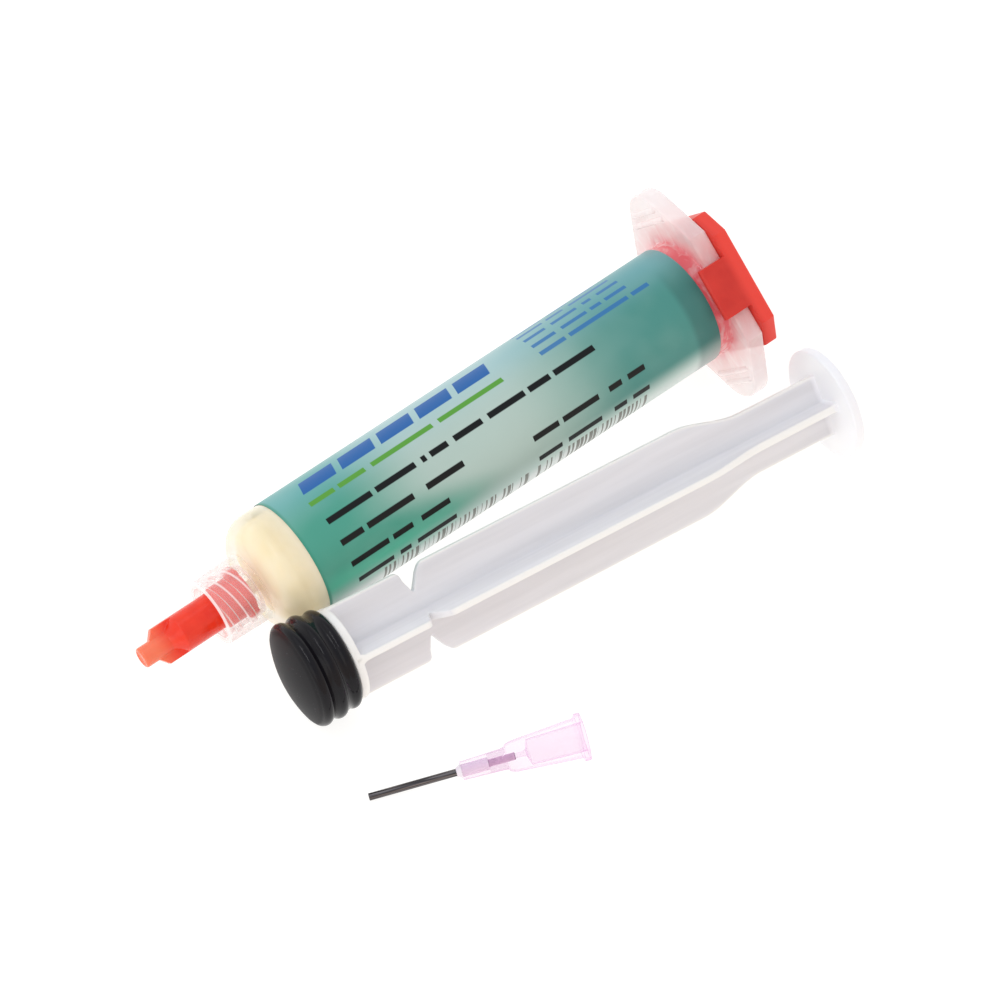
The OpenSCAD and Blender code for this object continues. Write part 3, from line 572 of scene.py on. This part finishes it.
# Self-adhesive polypropylene label film: printed, semi-gloss
def labelFilm():
    ink = labelPrintAndPaintedLight
    finish, tree, skin, where = newFinish("labelFilm", {
        "Roughness": 0.34, "IOR": 1.48, "Specular IOR Level": 0.3})
    spread = addNode(tree, "ShaderNodeUVMap", {"uv_map": "print"})
    around, along, _ = addNode(tree, "ShaderNodeSeparateXYZ", None, {0: spread.outputs[0]}).outputs

    # ground: teal at the nose, mint in the middle, a greyer teal at the rear
    rear = fadeField(tree, (along, 40.0, 74.0, 0.0, 1.0))
    colour = addNode(tree, "ShaderNodeMix", {
        "data_type": "RGBA", 6: paint(ink["teal"]), 7: paint(ink["rearTeal"])}, {"Factor": rear}).outputs[2]
    # the mint field leans: it lies further to the rear on the lower side
    lean = fadeField(tree, (around, 29.0, 35.0, 0.0, -11.0))
    place = addNode(tree, "ShaderNodeMath", {"operation": "ADD"}, {0: along, 1: lean}).outputs[0]
    cloud = addNode(tree, "ShaderNodeTexNoise", {"Scale": 1 / ink["cloudMm"], "Detail": 2.0},
                    {"Vector": spread.outputs[0]}).outputs["Fac"]
    # each field is a colour, its amount, and the fades that bound it
    for name, amount, fades in (
            ("mint", 1.0, ((place, 21.0, 38.0, 0.0, 0.97), (along, 50.0, 74.0, 1.0, 0.0))),
            # painted light over the ground: a bluer painted reflection towards the top; mossy low down near
            # the nose, with a brighter teal painted over the shade there; a pale and then white painted
            # reflection of the table at the bottom
            ("sky", 0.35, ((around, 18.5, 26.0, 1.0, 0.0),)),
            ("moss", 0.4, ((around, 28.0, 32.0, 0.0, 1.0), (along, 24.0, 36.0, 1.0, 0.0))),
            ("bright", 0.65, ((around, 32.6, 36.0, 0.0, 1.0), (along, 26.0, 46.0, 1.0, 0.0))),
            ("pale", 0.8, ((around, 35.2, 38.8, 0.0, 1.0),)),
            ("white", 0.9, ((around, 37.6, 40.2, 0.0, 1.0), (along, 56.0, 78.0, 1.0, 0.5))),
            # painted shade: the cap's plug behind the film is painted as a darker band at the rear end, and
            # the nose end has a darker rim
            ("shade", 0.42, ((along, 82.0, 83.4, 0.0, 1.0), (around, 20.0, 28.0, 0.0, 1.0))),
            ("moss", 0.8, ((along, 14.45, 14.9, 1.0, 0.0),)),
            # faint cloudiness of the ink
            ("pale", 0.06, ((cloud, 0.4, 0.7, 0.0, 1.0),))):
        colour = tintBy(tree, colour, fadeField(tree, *fades), ink[name], amount)

    # one row of slanting blue blocks
    b = ink["blocks"]
    low, high = rowSpan(b["foot"], b["high"])
    slant = addNode(tree, "ShaderNodeMath", {"operation": "MULTIPLY_ADD", 1: b["slant"]},
                    {0: around, 2: along})
    shifted = addNode(tree, "ShaderNodeMath", {"operation": "SUBTRACT", 1: b["from"] + b["slant"] * high},
                      {0: slant.outputs[0]})
    block = addNode(tree, "ShaderNodeMath", {"operation": "MODULO", 1: b["step"]}, {0: shifted.outputs[0]})
    blocks = mergeMasks(tree, "MULTIPLY", insideBand(tree, block.outputs[0], 0.0, b["long"]),
                        insideBand(tree, around, low, high),
                        insideBand(tree, shifted.outputs[0], 0.0, b["to"] - b["from"]))
    colour = tintBy(tree, colour, blocks, ink["blue"])

    for name, amount, rows in ink["rows"]:
        bars = mergeMasks(tree, "MAXIMUM", *[barRow(tree, around, along, *row) for row in rows])
        colour = tintBy(tree, colour, bars, ink[name], amount)

    # ticks of uneven width along the lower edge, some of them left out
    t = ink["ticks"]
    cell = addNode(tree, "ShaderNodeMath", {"operation": "MULTIPLY", 1: t["perMm"]}, {0: along})
    whole = addNode(tree, "ShaderNodeMath", {"operation": "FLOOR"}, {0: cell.outputs[0]})
    part = addNode(tree, "ShaderNodeMath", {"operation": "FRACT"}, {0: cell.outputs[0]})
    chance = addNode(tree, "ShaderNodeTexWhiteNoise", {"noise_dimensions": "1D"}, {"W": whole.outputs[0]})
    thin = addNode(tree, "ShaderNodeMapRange", {3: -0.06, 4: 0.85}, {0: chance.outputs[0]})
    dark = addNode(tree, "ShaderNodeMath", {"operation": "LESS_THAN"},
                   {0: part.outputs[0], 1: thin.outputs[0]})
    ticks = mergeMasks(tree, "MULTIPLY", insideBand(tree, around, *rowSpan(t["foot"], t["high"])),
                       insideBand(tree, along, t["from"], t["to"]), dark.outputs[0])
    colour = tintBy(tree, colour, ticks, ink["tick"], 0.9)

    tree.links.new(colour, skin.inputs["Base Color"])
    grainBump(tree, skin, where, ink["grainMm"], 0.08, 0.0002)
    return finish


print("finishes ready")

# Barrel and its caps: radii and lengths in mm from the collar's mouth, the flange's slope in degrees

barrelSizes = {
    "bore": 7.95, "tube": 9.3, "tubeStart": 11.6, "draft": 0.2, "length": 91.9,
    "shoulder": 4.2, "innerShoulder": 2.85, "floor": 11.7,
    "collarBore": 4.05, "collarFloor": 7.0, "nozzleBore": 1.05, "nozzleTip": -1.6,
    "flangeThick": 2.9, "flats": 9.9, "span": 35.0, "slope": 40.0, "slopeDistance": 13.2,
    "edge": 0.45, "threadLead": 5.0, "threadDepth": 0.38, "threadStep": 0.1,
}
# how far in a rounded edge is, and how far down, as shares of its radius
softEdge = ((1.0, 0.0), (0.62, 0.08), (0.3, 0.3), (0.08, 0.62), (0.0, 1.0))


def tubeRadius(z):
    # the tube widens a little to the rear
    s = barrelSizes
    return s["tube"] + s["draft"] * (z - s["tubeStart"]) / (s["length"] - s["tubeStart"])


def flangeOutline(inset, flats, cutY=None):
    # flats at the sides and a rounded ear at top and bottom, or a straight cut in place of the ears
    s = barrelSizes
    slope = math.radians(s["slope"])
    w, d = flats - inset, s["slopeDistance"] - inset
    corner = (w, (d - w * math.cos(slope)) / math.sin(slope))
    if cutY is None:
        earRadius = (s["slopeDistance"] - math.sin(slope) * s["span"] / 2) / (1 - math.sin(slope))
        ear = arcPoints(0, s["span"] / 2 - earRadius, earRadius - inset, s["slope"], 90, 8)
        quarter = linePoints((w, 0), corner, 12) + linePoints(corner, ear[0], 10) + ear
    else:
        topY = cutY - inset
        top = ((d - topY * math.sin(slope)) / math.cos(slope), topY)
        quarter = (linePoints((w, 0), corner, 10) + linePoints(corner, top, 5)
                   + linePoints(top, (0, topY), 9) + [(0, topY)])
    n = len(quarter) - 1
    return (quarter[:n] + [(-x, y) for x, y in reversed(quarter[1:])]
            + [(-x, -y) for x, y in quarter[:n]] + [(x, -y) for x, y in reversed(quarter[1:])])


def makeBarrel(finish):
    s = barrelSizes
    angles = [math.atan2(y, x) for x, y in flangeOutline(0, s["flats"])]

    def flangeRing(inset, z, least):
        out = []
        for (x, y), a in zip(flangeOutline(inset, s["flats"]), angles):
            if math.hypot(x, y) < least:
                x, y = least * math.cos(a), least * math.sin(a)
            out.append((x, y, z))
        return out

    def threadRing(z):
        # two starts, right-handed, cut into the wall so that the lugs pass; fades out at both ends
        fade = min(1, max(0, (z - 0.5) / 0.8), max(0, (6.6 - z) / 0.8))
        out = []
        for a in angles:
            turn = (z / (s["threadLead"] / 2) - a / math.pi) % 1
            groove = min(1, max(0, (0.28 - abs(turn - 0.5)) / 0.09))
            groove = groove * groove * (3 - 2 * groove)
            r = s["collarBore"] + s["threadDepth"] * groove * fade
            out.append((r * math.cos(a), r * math.sin(a), z))
        return out

    front, rear, e = s["length"] - s["flangeThick"], s["length"], s["edge"]
    # outside, from the collar's mouth to the flange
    outer = [(4.25, 0.02), (4.4, 0.0), (4.78, 0.0), (4.98, 0.06), (5.09, 0.2), (5.12, 0.5), (5.2, 3.5),
             (5.28, 6.7), (5.31, 7.05), (5.42, 7.33)]
    outer += arcPoints(s["tube"] - s["shoulder"], s["tubeStart"], s["shoulder"], -82, 0, 14)
    outer += [(tubeRadius(z), z) for z in (20, 35, 50, 65, 80, 88.3)]
    outer += [(9.51, 88.65), (9.56, 88.86), (9.66, 88.97), (9.8, front)]
    # inside, from the flange to the floor, through the nozzle's bore and back into the collar
    inner = [(8.45, rear), (8.32, rear - 0.04), (8.0, rear - 0.4), (s["bore"], rear - 0.55),
             (s["bore"], 60), (s["bore"], 30)]
    inner += arcPoints(s["bore"] - s["innerShoulder"], s["floor"], s["innerShoulder"], 0, -88, 8)
    tip, bore, floor = s["nozzleTip"], s["nozzleBore"], s["collarFloor"]
    inner += [(3, 8.5), (1.25, 8.2), (1.07, 8.05), (bore, 7.8), (bore, tip + 0.2), (1.15, tip + 0.03),
              (1.3, tip), (1.75, tip), (1.92, tip + 0.06), (1.98, tip + 0.25), (2.03, 0.2), (2.22, 6.6),
              (2.28, 6.85), (2.45, floor), (3.7, floor), (3.95, floor - 0.07),
              (s["collarBore"], floor - 0.25)]
    rings = [ringAt(angles, r, z) for r, z in outer]
    rings += [flangeRing(e * inset, front + e * down, least)
              for (inset, down), least in zip(softEdge, (9.8, 9.81, 9.83, 9.86, 9.9))]
    rings += [flangeRing(e * inset, rear - e * down, least)
              for (inset, down), least in zip(reversed(softEdge), (9.9, 9.86, 9.6, 9.5, 9.3))]
    rings += [ringAt(angles, r, z) for r, z in inner]
    z = 6.6
    while z > 0.45:
        rings.append(threadRing(z))
        z -= s["threadStep"]
    rings += [ringAt(angles, s["collarBore"], 0.4), ringAt(angles, 4.1, 0.15)]
    piece = drawRings("moulded_barrel", rings, "open", "open")

    # grip ribs, two on each ear, sunk into the flange's front
    rib = {"radius": 0.5, "sunk": 0.15, "places": ((14.6, 7.4), (12.9, 9.2))}
    for side in (-1, 1):
        for y, long in rib["places"]:
            rod = turnPiece("rib", arcPoints(0, -long / 2, rib["radius"], -84, 0, 6)
                            + arcPoints(0, long / 2, rib["radius"], 0, 84, 6), 24)
            rod.matrix_world = (Matrix.Translation((0, side * y, front + rib["sunk"]))
                                @ Matrix.Rotation(math.radians(90), 4, "Y"))
            takeUp(rod)
            bpy.ops.object.transform_apply(location=True, rotation=True, scale=True)
            weldOn(piece, rod)
    settle(piece, finish, 32, "barrel", "barrel", "barrel")


def makeFlux(finish):
    # the paste wets the wall, so its skin lies just inside the wall's inner face
    s, wet = barrelSizes, 0.03
    wall, bore = s["bore"] + wet, s["nozzleBore"] + wet
    profile = [(bore, -1.3), (bore, 7.9), (1.3, 8.2), (3, 8.45)]
    profile += arcPoints(s["bore"] - s["innerShoulder"], s["floor"], s["innerShoulder"] + wet, -86, 0, 10)
    profile += [(wall, 30), (wall, 55.4), (7.9, 55.7), (7.5, 55.85), (5.0, 55.6), (2.0, 55.3), (0.4, 55.35)]
    piece = turnPiece("flux_paste", profile)
    settle(piece, finish, 50, "barrel", "barrel", "flux")


def makeLabel(finish):
    # a sheet round the tube, closed on the far side where its ends would lap
    sheet = {"start": 14.3, "end": 86.7, "thick": 0.08, "gap": 0.02, "rim": 0.06, "rows": 24, "sides": 160}
    start, end, n = sheet["start"], sheet["end"], sheet["rows"]
    angles = evenAngles(sheet["sides"])
    rows = [start, start + sheet["rim"]] + [start + (end - start) * i / n for i in range(1, n)]
    rows += [end - sheet["rim"], end]

    def sheetRing(z, share):
        # a ring at a share of the sheet's thickness
        return ringAt(angles, tubeRadius(z) + sheet["gap"] + sheet["thick"] * share, z)

    rings = [sheetRing(z, 1 if start < z < end else 0.6) for z in rows]
    rings += [sheetRing(z, 0) for z in reversed(rows)]
    piece = drawRings("label_wrap", rings, "open", "open")
    # the print's map is laid out in mm; a face beside its seam keeps its corners together
    layout = piece.data.uv_layers.new(name="print")
    for face in piece.data.polygons:
        mid = math.degrees(math.atan2(face.center.y, face.center.x)) % 360
        for loop in face.loop_indices:
            p = piece.data.vertices[piece.data.loops[loop].vertex_index].co
            a = math.degrees(math.atan2(p.y, p.x)) % 360
            a += 360 * round((mid - a) / 360)
            layout.data[loop].uv = (math.radians(a) * labelPrintAndPaintedLight["radius"], p.z)
    settle(piece, finish, 40, "barrel", "barrel", "label")


def makeEndCap(finish):
    plate = {"under": 91.95, "thick": 2.4, "half": 11.0, "cutY": 10.9, "edge": 0.35}
    plug = {"front": 81.6, "inside": 6.57, "radius": 7.77, "ridge": 7.9}
    clip = {"half": 4.15, "front": 87.25, "outer": 10.985, "inner": 10.3, "foot": 10.02}
    angles = [math.atan2(y, x) for x, y in flangeOutline(0, plate["half"], plate["cutY"])]

    def plateRing(inset, z):
        return [(x, y, z) for x, y in flangeOutline(inset, plate["half"], plate["cutY"])]

    z0, z1, e = plate["under"], plate["under"] + plate["thick"], plate["edge"]
    f, inside, radius, ridge = plug["front"], plug["inside"], plug["radius"], plug["ridge"]
    rings = [ringAt(angles, r, z) for r, z in softProfile([
        (0.5, 91.5), (inside, 91.5, 0.4), (inside, f, 0.25), (7.3, f, 0.3), (radius, f + 0.8, 0.5),
        (radius, f + 1.7, 0.3), (ridge, f + 2.1, 0.3), (ridge, f + 2.7, 0.3), (radius, f + 3.1, 0.3),
        (radius, z0)])]
    rings += [plateRing(0.14, z0), plateRing(0.04, z0 + 0.04), plateRing(0.0, z0 + 0.14)]
    rings += [plateRing(e * inset, z1 - e * down) for inset, down in reversed(softEdge)]
    piece = drawRings("end_cap_moulding", rings, "point", "face")

    f = clip["front"]
    section = [(clip["outer"], z0 + 0.6), (clip["outer"], f + 0.35), (10.65, f), (10.12, f),
               (clip["foot"], f + 0.3), (clip["foot"], f + 1.2), (clip["inner"], f + 1.6),
               (clip["inner"], z0 + 0.6)]
    for side in (-1, 1):
        leg = drawRings("clip", [[(side * x, y, z) for x, z in section]
                                 for y in (-clip["half"], clip["half"])])
        roundEdges(leg, 0.12)
        weldOn(piece, leg)
    settle(piece, finish, 32, "barrel", "end_cap", "end_cap")


def makeTipCap(finish):
    cap = {"tip": -11.9, "nub": 1.575, "cone": -7.4, "grip": -5.4, "bar": 2.875, "finHalf": 0.65,
           "finEnd": -8.7, "finSlope": 0.8, "skirt": 3.25, "lug": 3.85, "rear": 6.1, "inside": -1.9}
    # points stand closer where the fins' edges run
    up = [65.6 * i / 12 for i in range(12)] + [65.6 + 11.3 * i / 8 for i in range(8)]
    up += [76.9 + 13.1 * i / 6 for i in range(7)]
    half = up[:-1] + [180 - a for a in reversed(up[1:])]
    angles = [math.radians(a + turn) for turn in (0, 180) for a in half]

    def gripRing(z):
        # nub, cone and grip, and the two fins that run on from the grip
        out = []
        t = min(1, max(0, (z - cap["cone"]) / (cap["grip"] - cap["cone"])))
        base = cap["nub"] + (cap["bar"] - cap["nub"]) * (0.75 * t + 0.25 * t * t * (3 - 2 * t))
        fin = cap["bar"] - max(0.0, cap["finEnd"] - z) / cap["finSlope"]
        for a in angles:
            r = base
            if fin > 0.6:
                # soft corners between flank, edge and base
                flank = min(cap["finHalf"] / max(abs(math.cos(a)), 0.001), 60)
                edge = min(cap["bar"], fin / max(abs(math.sin(a)), 0.001))
                fins = (flank ** -26 + edge ** -26) ** (-1 / 26)
                r = (base ** 20 + fins ** 20) ** (1 / 20)
            r = min(r, cap["bar"])
            out.append((r * math.cos(a), r * math.sin(a), z))
        return out

    def lugRing(z, amount):
        out = []
        for a in angles:
            near = min(1, max(0, (0.56 - abs(math.cos(a))) / 0.06))
            r = cap["skirt"] + (cap["lug"] - cap["skirt"]) * near * amount
            out.append((r * math.cos(a), r * math.sin(a), z))
        return out

    # the nub's face is dished where the mould was filled
    tip, bar, skirt, rear, inside = cap["tip"], cap["bar"], cap["skirt"], cap["rear"], cap["inside"]
    nub = [(0.4, tip + 0.2), (0.95, tip + 0.18), (1.12, tip + 0.08), (1.2, tip + 0.01), (1.3, tip),
           (1.45, tip + 0.06), (1.54, tip + 0.16), (cap["nub"], tip + 0.32)]
    neck = [(bar, 0.0), (bar, 1.15), (2.92, 1.32), (3.0, 1.4), (3.12, 1.42), (3.22, 1.5), (skirt, 1.65),
            (skirt, 4.6)]
    bore = [(3.05, rear), (2.4, rear), (2.28, rear - 0.06), (2.25, rear - 0.2), (2.02, inside + 0.1),
            (1.9, inside), (0.4, inside)]
    rings = [ringAt(angles, r, z) for r, z in nub]
    rings += [gripRing(z) for z in (-11.0, -10.4, -10.0, -9.85)]
    z = -9.75
    while z < -5.2:
        rings.append(gripRing(z))
        z += 0.09
    rings += [gripRing(z) for z in (-5.0, -4.4, -3.2, -2.0)]
    rings += [ringAt(angles, r, z) for r, z in neck]
    rings += [lugRing(z, amount) for z, amount in (
        (4.85, 0.0), (4.95, 0.85), (5.05, 1.0), (5.95, 1.0), (6.06, 0.9))]
    rings += [ringAt(angles, r, z) for r, z in bore]
    piece = drawRings("tip_cap_moulding", rings, "point", "point")
    settle(piece, finish, 38, "barrel", "tip_cap", "tip_cap")


# Plunger: radii and lengths in mm from the piston's front

plungerSizes = {
    "seat": 6.7, "seatRadius": 7.0, "thumb": 90.4, "thumbThick": 1.5, "thumbRadius": 8.7,
    "rib": 7.0, "ribRear": 4.75, "edgeHalf": 0.45, "rootHalf": 0.75, "corner": 0.16,
    "notch": 20.6, "notchRadius": 3.35, "narrow": 66.2, "narrowLength": 11.2,
    "pistonRing": 7.0, "ringRadius": 1.0, "rearRing": 6.75, "rearRadius": 0.9, "dome": 1.5,
}


def crossRing(reach, z, spread):
    # one cut through the four ribs; spread thickens them where they run into a disc
    p = plungerSizes
    c = p["corner"]

    def half(u):
        return p["rootHalf"] - (p["rootHalf"] - p["edgeHalf"]) * u / 7.5 + spread

    k, tip = half(0.9), half(reach)
    root = k + 0.32
    side = [(u, half(u)) for u in (root, root + (reach - c - root) * 0.35, root + (reach - c - root) * 0.7)]
    side += [(reach - c, tip), (reach - c * 0.3, tip - c * 0.3), (reach, tip - c)]
    arm = [(u, -v) for u, v in side] + [(reach, 0.0)] + side[::-1]
    arm += [(k + 0.13, k + 0.07), (k + 0.07, k + 0.13)]
    ring = []
    for q in range(4):
        co, si = round(math.cos(math.pi / 2 * q)), round(math.sin(math.pi / 2 * q))
        ring += [(u * co - v * si, u * si + v * co, z) for u, v in arm]
    return ring


def makePlungerRod(finish):
    p = plungerSizes
    full, thin, n, z0 = p["rib"], p["ribRear"], p["notch"], p["thumb"]
    profile = [(full, z) for z in (p["seat"] + 0.5, p["seat"] + 1.3, 8.2, 8.6, 9.2, 13)]
    profile += softProfile([(full, 15), (full, n - 1.2, 1.5), (full - 1.5, n - 0.9, 0.5),
                            (p["notchRadius"], n, 0.22), (full - 1.2, n + 1.4, 0.6),
                            (full, n + 2.4, 1.8), (full, n + 5.5)], 5)
    profile += [(full, 40), (full, 55)]
    profile += [((full + thin) / 2 + (full - thin) / 2 * math.cos(math.pi * i / 16),
                 p["narrow"] + p["narrowLength"] * i / 16) for i in range(17)]
    profile += [(thin, z) for z in (84, 89.3, 89.9, 90.2, 90.4, 91.0)]
    # the ribs thicken within 0.8 mm of either disc
    rings = []
    for r, z in profile:
        near = max(0.0, 1 - (z - 8.0) / 0.8, 1 - (z0 - z) / 0.8)
        rings.append(crossRing(r, z, 0.3 * min(1.0, near) ** 2))
    piece = drawRings("plunger_moulding", rings)

    seat, r = p["seat"], p["seatRadius"]
    weldOn(piece, turnPiece("seat", softProfile([
        (0.4, 1.7), (3.6, 1.7, 0.15), (4.4, 3.1, 0.15), (4.4, 3.7, 0.1), (2.9, 3.7, 0.1), (2.9, seat, 0.1),
        (r, seat, 0.22), (r, seat + 1.3, 0.3), (0.4, seat + 1.3)])))
    z1, r = z0 + p["thumbThick"], p["thumbRadius"]
    weldOn(piece, turnPiece("thumb", softProfile([(0.4, z0), (r, z0, 0.3), (r, z1, 0.3), (0.4, z1)]), 128))
    settle(piece, finish, 40, "plunger", "barrel", "plunger_rod")


def makePiston(finish):
    p = plungerSizes
    ringC, ringR, dome, face = p["pistonRing"], p["ringRadius"], p["dome"], 7.35
    # dome over the front, its radius from its height and width
    domeR = (face ** 2 + dome ** 2) / (2 * dome)
    profile = [(0.5, -1.495)]
    for r in (face * i / 10 for i in range(1, 10)):
        profile.append((r, domeR - dome - math.sqrt(domeR ** 2 - r ** 2)))
    profile += [(7.2, -0.06), (7.32, 0.04)]
    profile += arcPoints(ringC, ringR, ringR, -66, 52, 12)
    profile += [(7.42, 2.18)]
    profile += arcPoints(ringC, 3.35, ringR, -52, 52, 12)
    profile += [(7.38, 4.72)]
    profile += arcPoints(p["rearRing"], 5.78, p["rearRadius"], -46, 84, 13)
    profile += [(6.4, 6.67), (2.92, 6.67), (2.92, 3.72), (4.42, 3.72), (4.42, 3.08), (3.62, 1.68),
                (0.4, 1.68)]
    piece = turnPiece("rubber_piston", profile, 112)
    settle(piece, finish, 48, "plunger", "barrel", "piston")


# Needle: radii and lengths in mm from the steel's front end

def makeNeedle(hubFinish, steelFinish, bondFinish):
    n = {"out": 13.4, "end": 31.4, "tube": 0.535, "bore": 0.35, "seat": 0.555, "seatStart": 17.3,
         "seatEnd": 21.2, "well": 0.9, "flange": 3.45, "socket": 2.12}
    out, end, seat, tube, bore = n["out"], n["end"], n["seat"], n["tube"], n["bore"]
    outer = softProfile([
        (0.98, out), (1.35, out, 0.1), (1.55, 19.3, 0.6), (1.66, 19.95, 0.35), (1.98, 20.1, 0.2),
        (2.25, 21.0, 0.5), (2.95, 30.5, 0.25), (n["flange"], 30.5, 0.14), (n["flange"], end, 0.14),
        (2.3, end)])
    inner = softProfile([
        (2.3, end), (n["socket"], 31.2, 0.1), (1.89, 23.2, 0.12), (0.5, 22.75, 0.1), (bore, 22.3, 0.08),
        (bore, n["seatEnd"]), (seat, n["seatEnd"]), (seat, n["seatStart"]), (n["well"], n["seatStart"]),
        (n["well"], out + 0.08), (0.98, out)])
    hub = turnPiece("luer_hub", outer[:-1] + inner[:-1], 96, "open", "open")
    settle(hub, hubFinish, 40, "needle", "barrel", "needle_hub")

    steel = turnPiece("steel_tube", [
        (bore + 0.02, 0.0), (tube - 0.03, 0.0), (tube, 0.03), (tube, 7), (tube, n["seatEnd"] - 0.03),
        (bore, n["seatEnd"] - 0.01), (bore, 7), (bore, 0.03)], 64, "open", "open")
    settle(steel, steelFinish, 40, "needle", "barrel", "needle_tube")

    # it fills the well in the hub and stands out in front as a bead
    r, wall, front, rear = tube + 0.013, n["well"] - 0.015, out - 0.015, n["seatStart"] - 0.02
    bead = turnPiece("adhesive_bead", softProfile([
        (r, 12.65), (0.62, 12.68, 0.05), (0.78, 13.0, 0.2), (1.08, front, 0.1), (wall, front), (wall, rear),
        (r, rear)]), 64, "open", "open")
    settle(bead, bondFinish, 50, "needle", "barrel", "needle_bond")


makeBarrel(clearPolypropylene())
makeFlux(rosinPaste())
makeLabel(labelFilm())
print("barrel done")
makeEndCap(redPolyethylene("redPolyethyleneEnd", {
    "deep": "#CC3229", "bright": "#D63A2F", "thin": "#F04A3E", "thickZ": 91.2, "thinZ": 93.0,
    "thinAmount": 0.9, "roughness": 0.4, "sheen": 0.3, "grainMm": 0.45, "cloudMm": 3.5}))
makeTipCap(redPolyethylene("redPolyethyleneTip", {
    "deep": "#EC3018", "bright": "#F63E22", "thin": "#FF8560", "thickZ": -6.2, "thinZ": -10.2,
    "thinAmount": 0.85, "roughness": 0.16, "sheen": 0.4, "grainMm": 0.6, "cloudMm": 2.5}))
print("caps done")
makePlungerRod(milkyPolypropylene())
makePiston(butylRubber())
print("plunger done")
makeNeedle(pinkPolypropylene(), drawnSteel(), curedEpoxy())
print("needle done")

# Floor, light and camera

studio = {
    "sky": 1.0, "zenith": "#D8DCE4", "horizon": "#FFFFFF", "warm": "#FFF0E5", "floor": "#8C8C8A",
    "glow": 0.88, "glowTint": "#FFFEFC", "floorHalf": 1.5,
    # two soft boxes, and a narrow one for the thin highlights on the glossy pieces
    "lamps": {
        "overhead": {"place": (-0.15, 0.25, 0.55), "size": (0.5, 0.5), "watts": 0.3},
        "side": {"place": (-0.5, -0.2, 0.35), "size": (0.35, 0.35), "watts": 0.18},
        "strip": {"place": (-0.22, 0.06, 0.56), "size": (0.4, 0.035), "watts": 0.4},
    },
}


def makeStudio():
    clearSelection()
    bpy.ops.mesh.primitive_plane_add(size=2 * studio["floorHalf"], location=(0, 0, 0))
    floor = bpy.context.object
    floor.name = "table_top"
    finish, _, _, _ = newFinish("paleTable", {
        "Base Color": paint(studio["floor"]), "Roughness": 0.9, "Specular IOR Level": 0.1,
        "Emission Color": paint(studio["glowTint"]), "Emission Strength": studio["glow"]})
    floor.data.materials.append(finish)

    world = bpy.data.worlds.new("softRoom")
    bpy.context.scene.world = world
    world.use_nodes = True
    # white walls, the near one a little warmer, and a slightly cooler and darker ceiling
    air = world.node_tree
    sky = air.nodes["Background"]
    sky.inputs["Strength"].default_value = studio["sky"]
    ways = addNode(air, "ShaderNodeTexCoord")
    axes = addNode(air, "ShaderNodeSeparateXYZ", None, {0: ways.outputs["Generated"]}).outputs
    near = fadeField(air, (axes[1], 0.1, -0.8, 0.0, 1.0))
    wall = addNode(air, "ShaderNodeMix", {
        "data_type": "RGBA", 6: paint(studio["horizon"]), 7: paint(studio["warm"])}, {"Factor": near})
    ceiling = fadeField(air, (axes[2], 0.25, 0.9, 0.0, 1.0))
    air.links.new(tintBy(air, wall.outputs[2], ceiling, studio["zenith"]), sky.inputs["Color"])

    for name, lamp in studio["lamps"].items():
        light = bpy.data.lights.new(name, "AREA")
        light.shape, light.energy = "RECTANGLE", lamp["watts"]
        light.size, light.size_y = lamp["size"]
        holder = bpy.data.objects.new(name, light)
        bpy.context.scene.collection.objects.link(holder)
        holder.location = lamp["place"]
        aim = Vector((0, 0, 0.01)) - Vector(lamp["place"])
        holder.rotation_euler = aim.to_track_quat("-Z", "Y").to_euler()


def makeCamera():
    shot = {"place": (-199.487, -248.329, 434.386), "focalPx": 3700.0, "widthPx": 1000, "sensor": 36.0,
            "right": (0.784585, -0.620022, 0.0), "up": (0.491896, 0.622453, 0.608761)}
    lens = bpy.data.cameras.new("photo_view")
    lens.sensor_width = shot["sensor"]
    lens.lens = shot["focalPx"] / shot["widthPx"] * shot["sensor"]
    lens.clip_start, lens.clip_end = 0.01, 20
    camera = bpy.data.objects.new("photo_view", lens)
    bpy.context.scene.collection.objects.link(camera)
    right, up = Vector(shot["right"]).normalized(), Vector(shot["up"]).normalized()
    turn = Matrix((right, up, right.cross(up))).transposed().to_4x4()
    camera.matrix_world = Matrix.Translation(Vector(shot["place"]) * mm) @ turn
    bpy.context.scene.camera = camera


makeStudio()
makeCamera()
bpy.context.scene.view_settings.view_transform = "Standard"
bpy.context.scene.view_settings.look = "None"
print("studio ready")
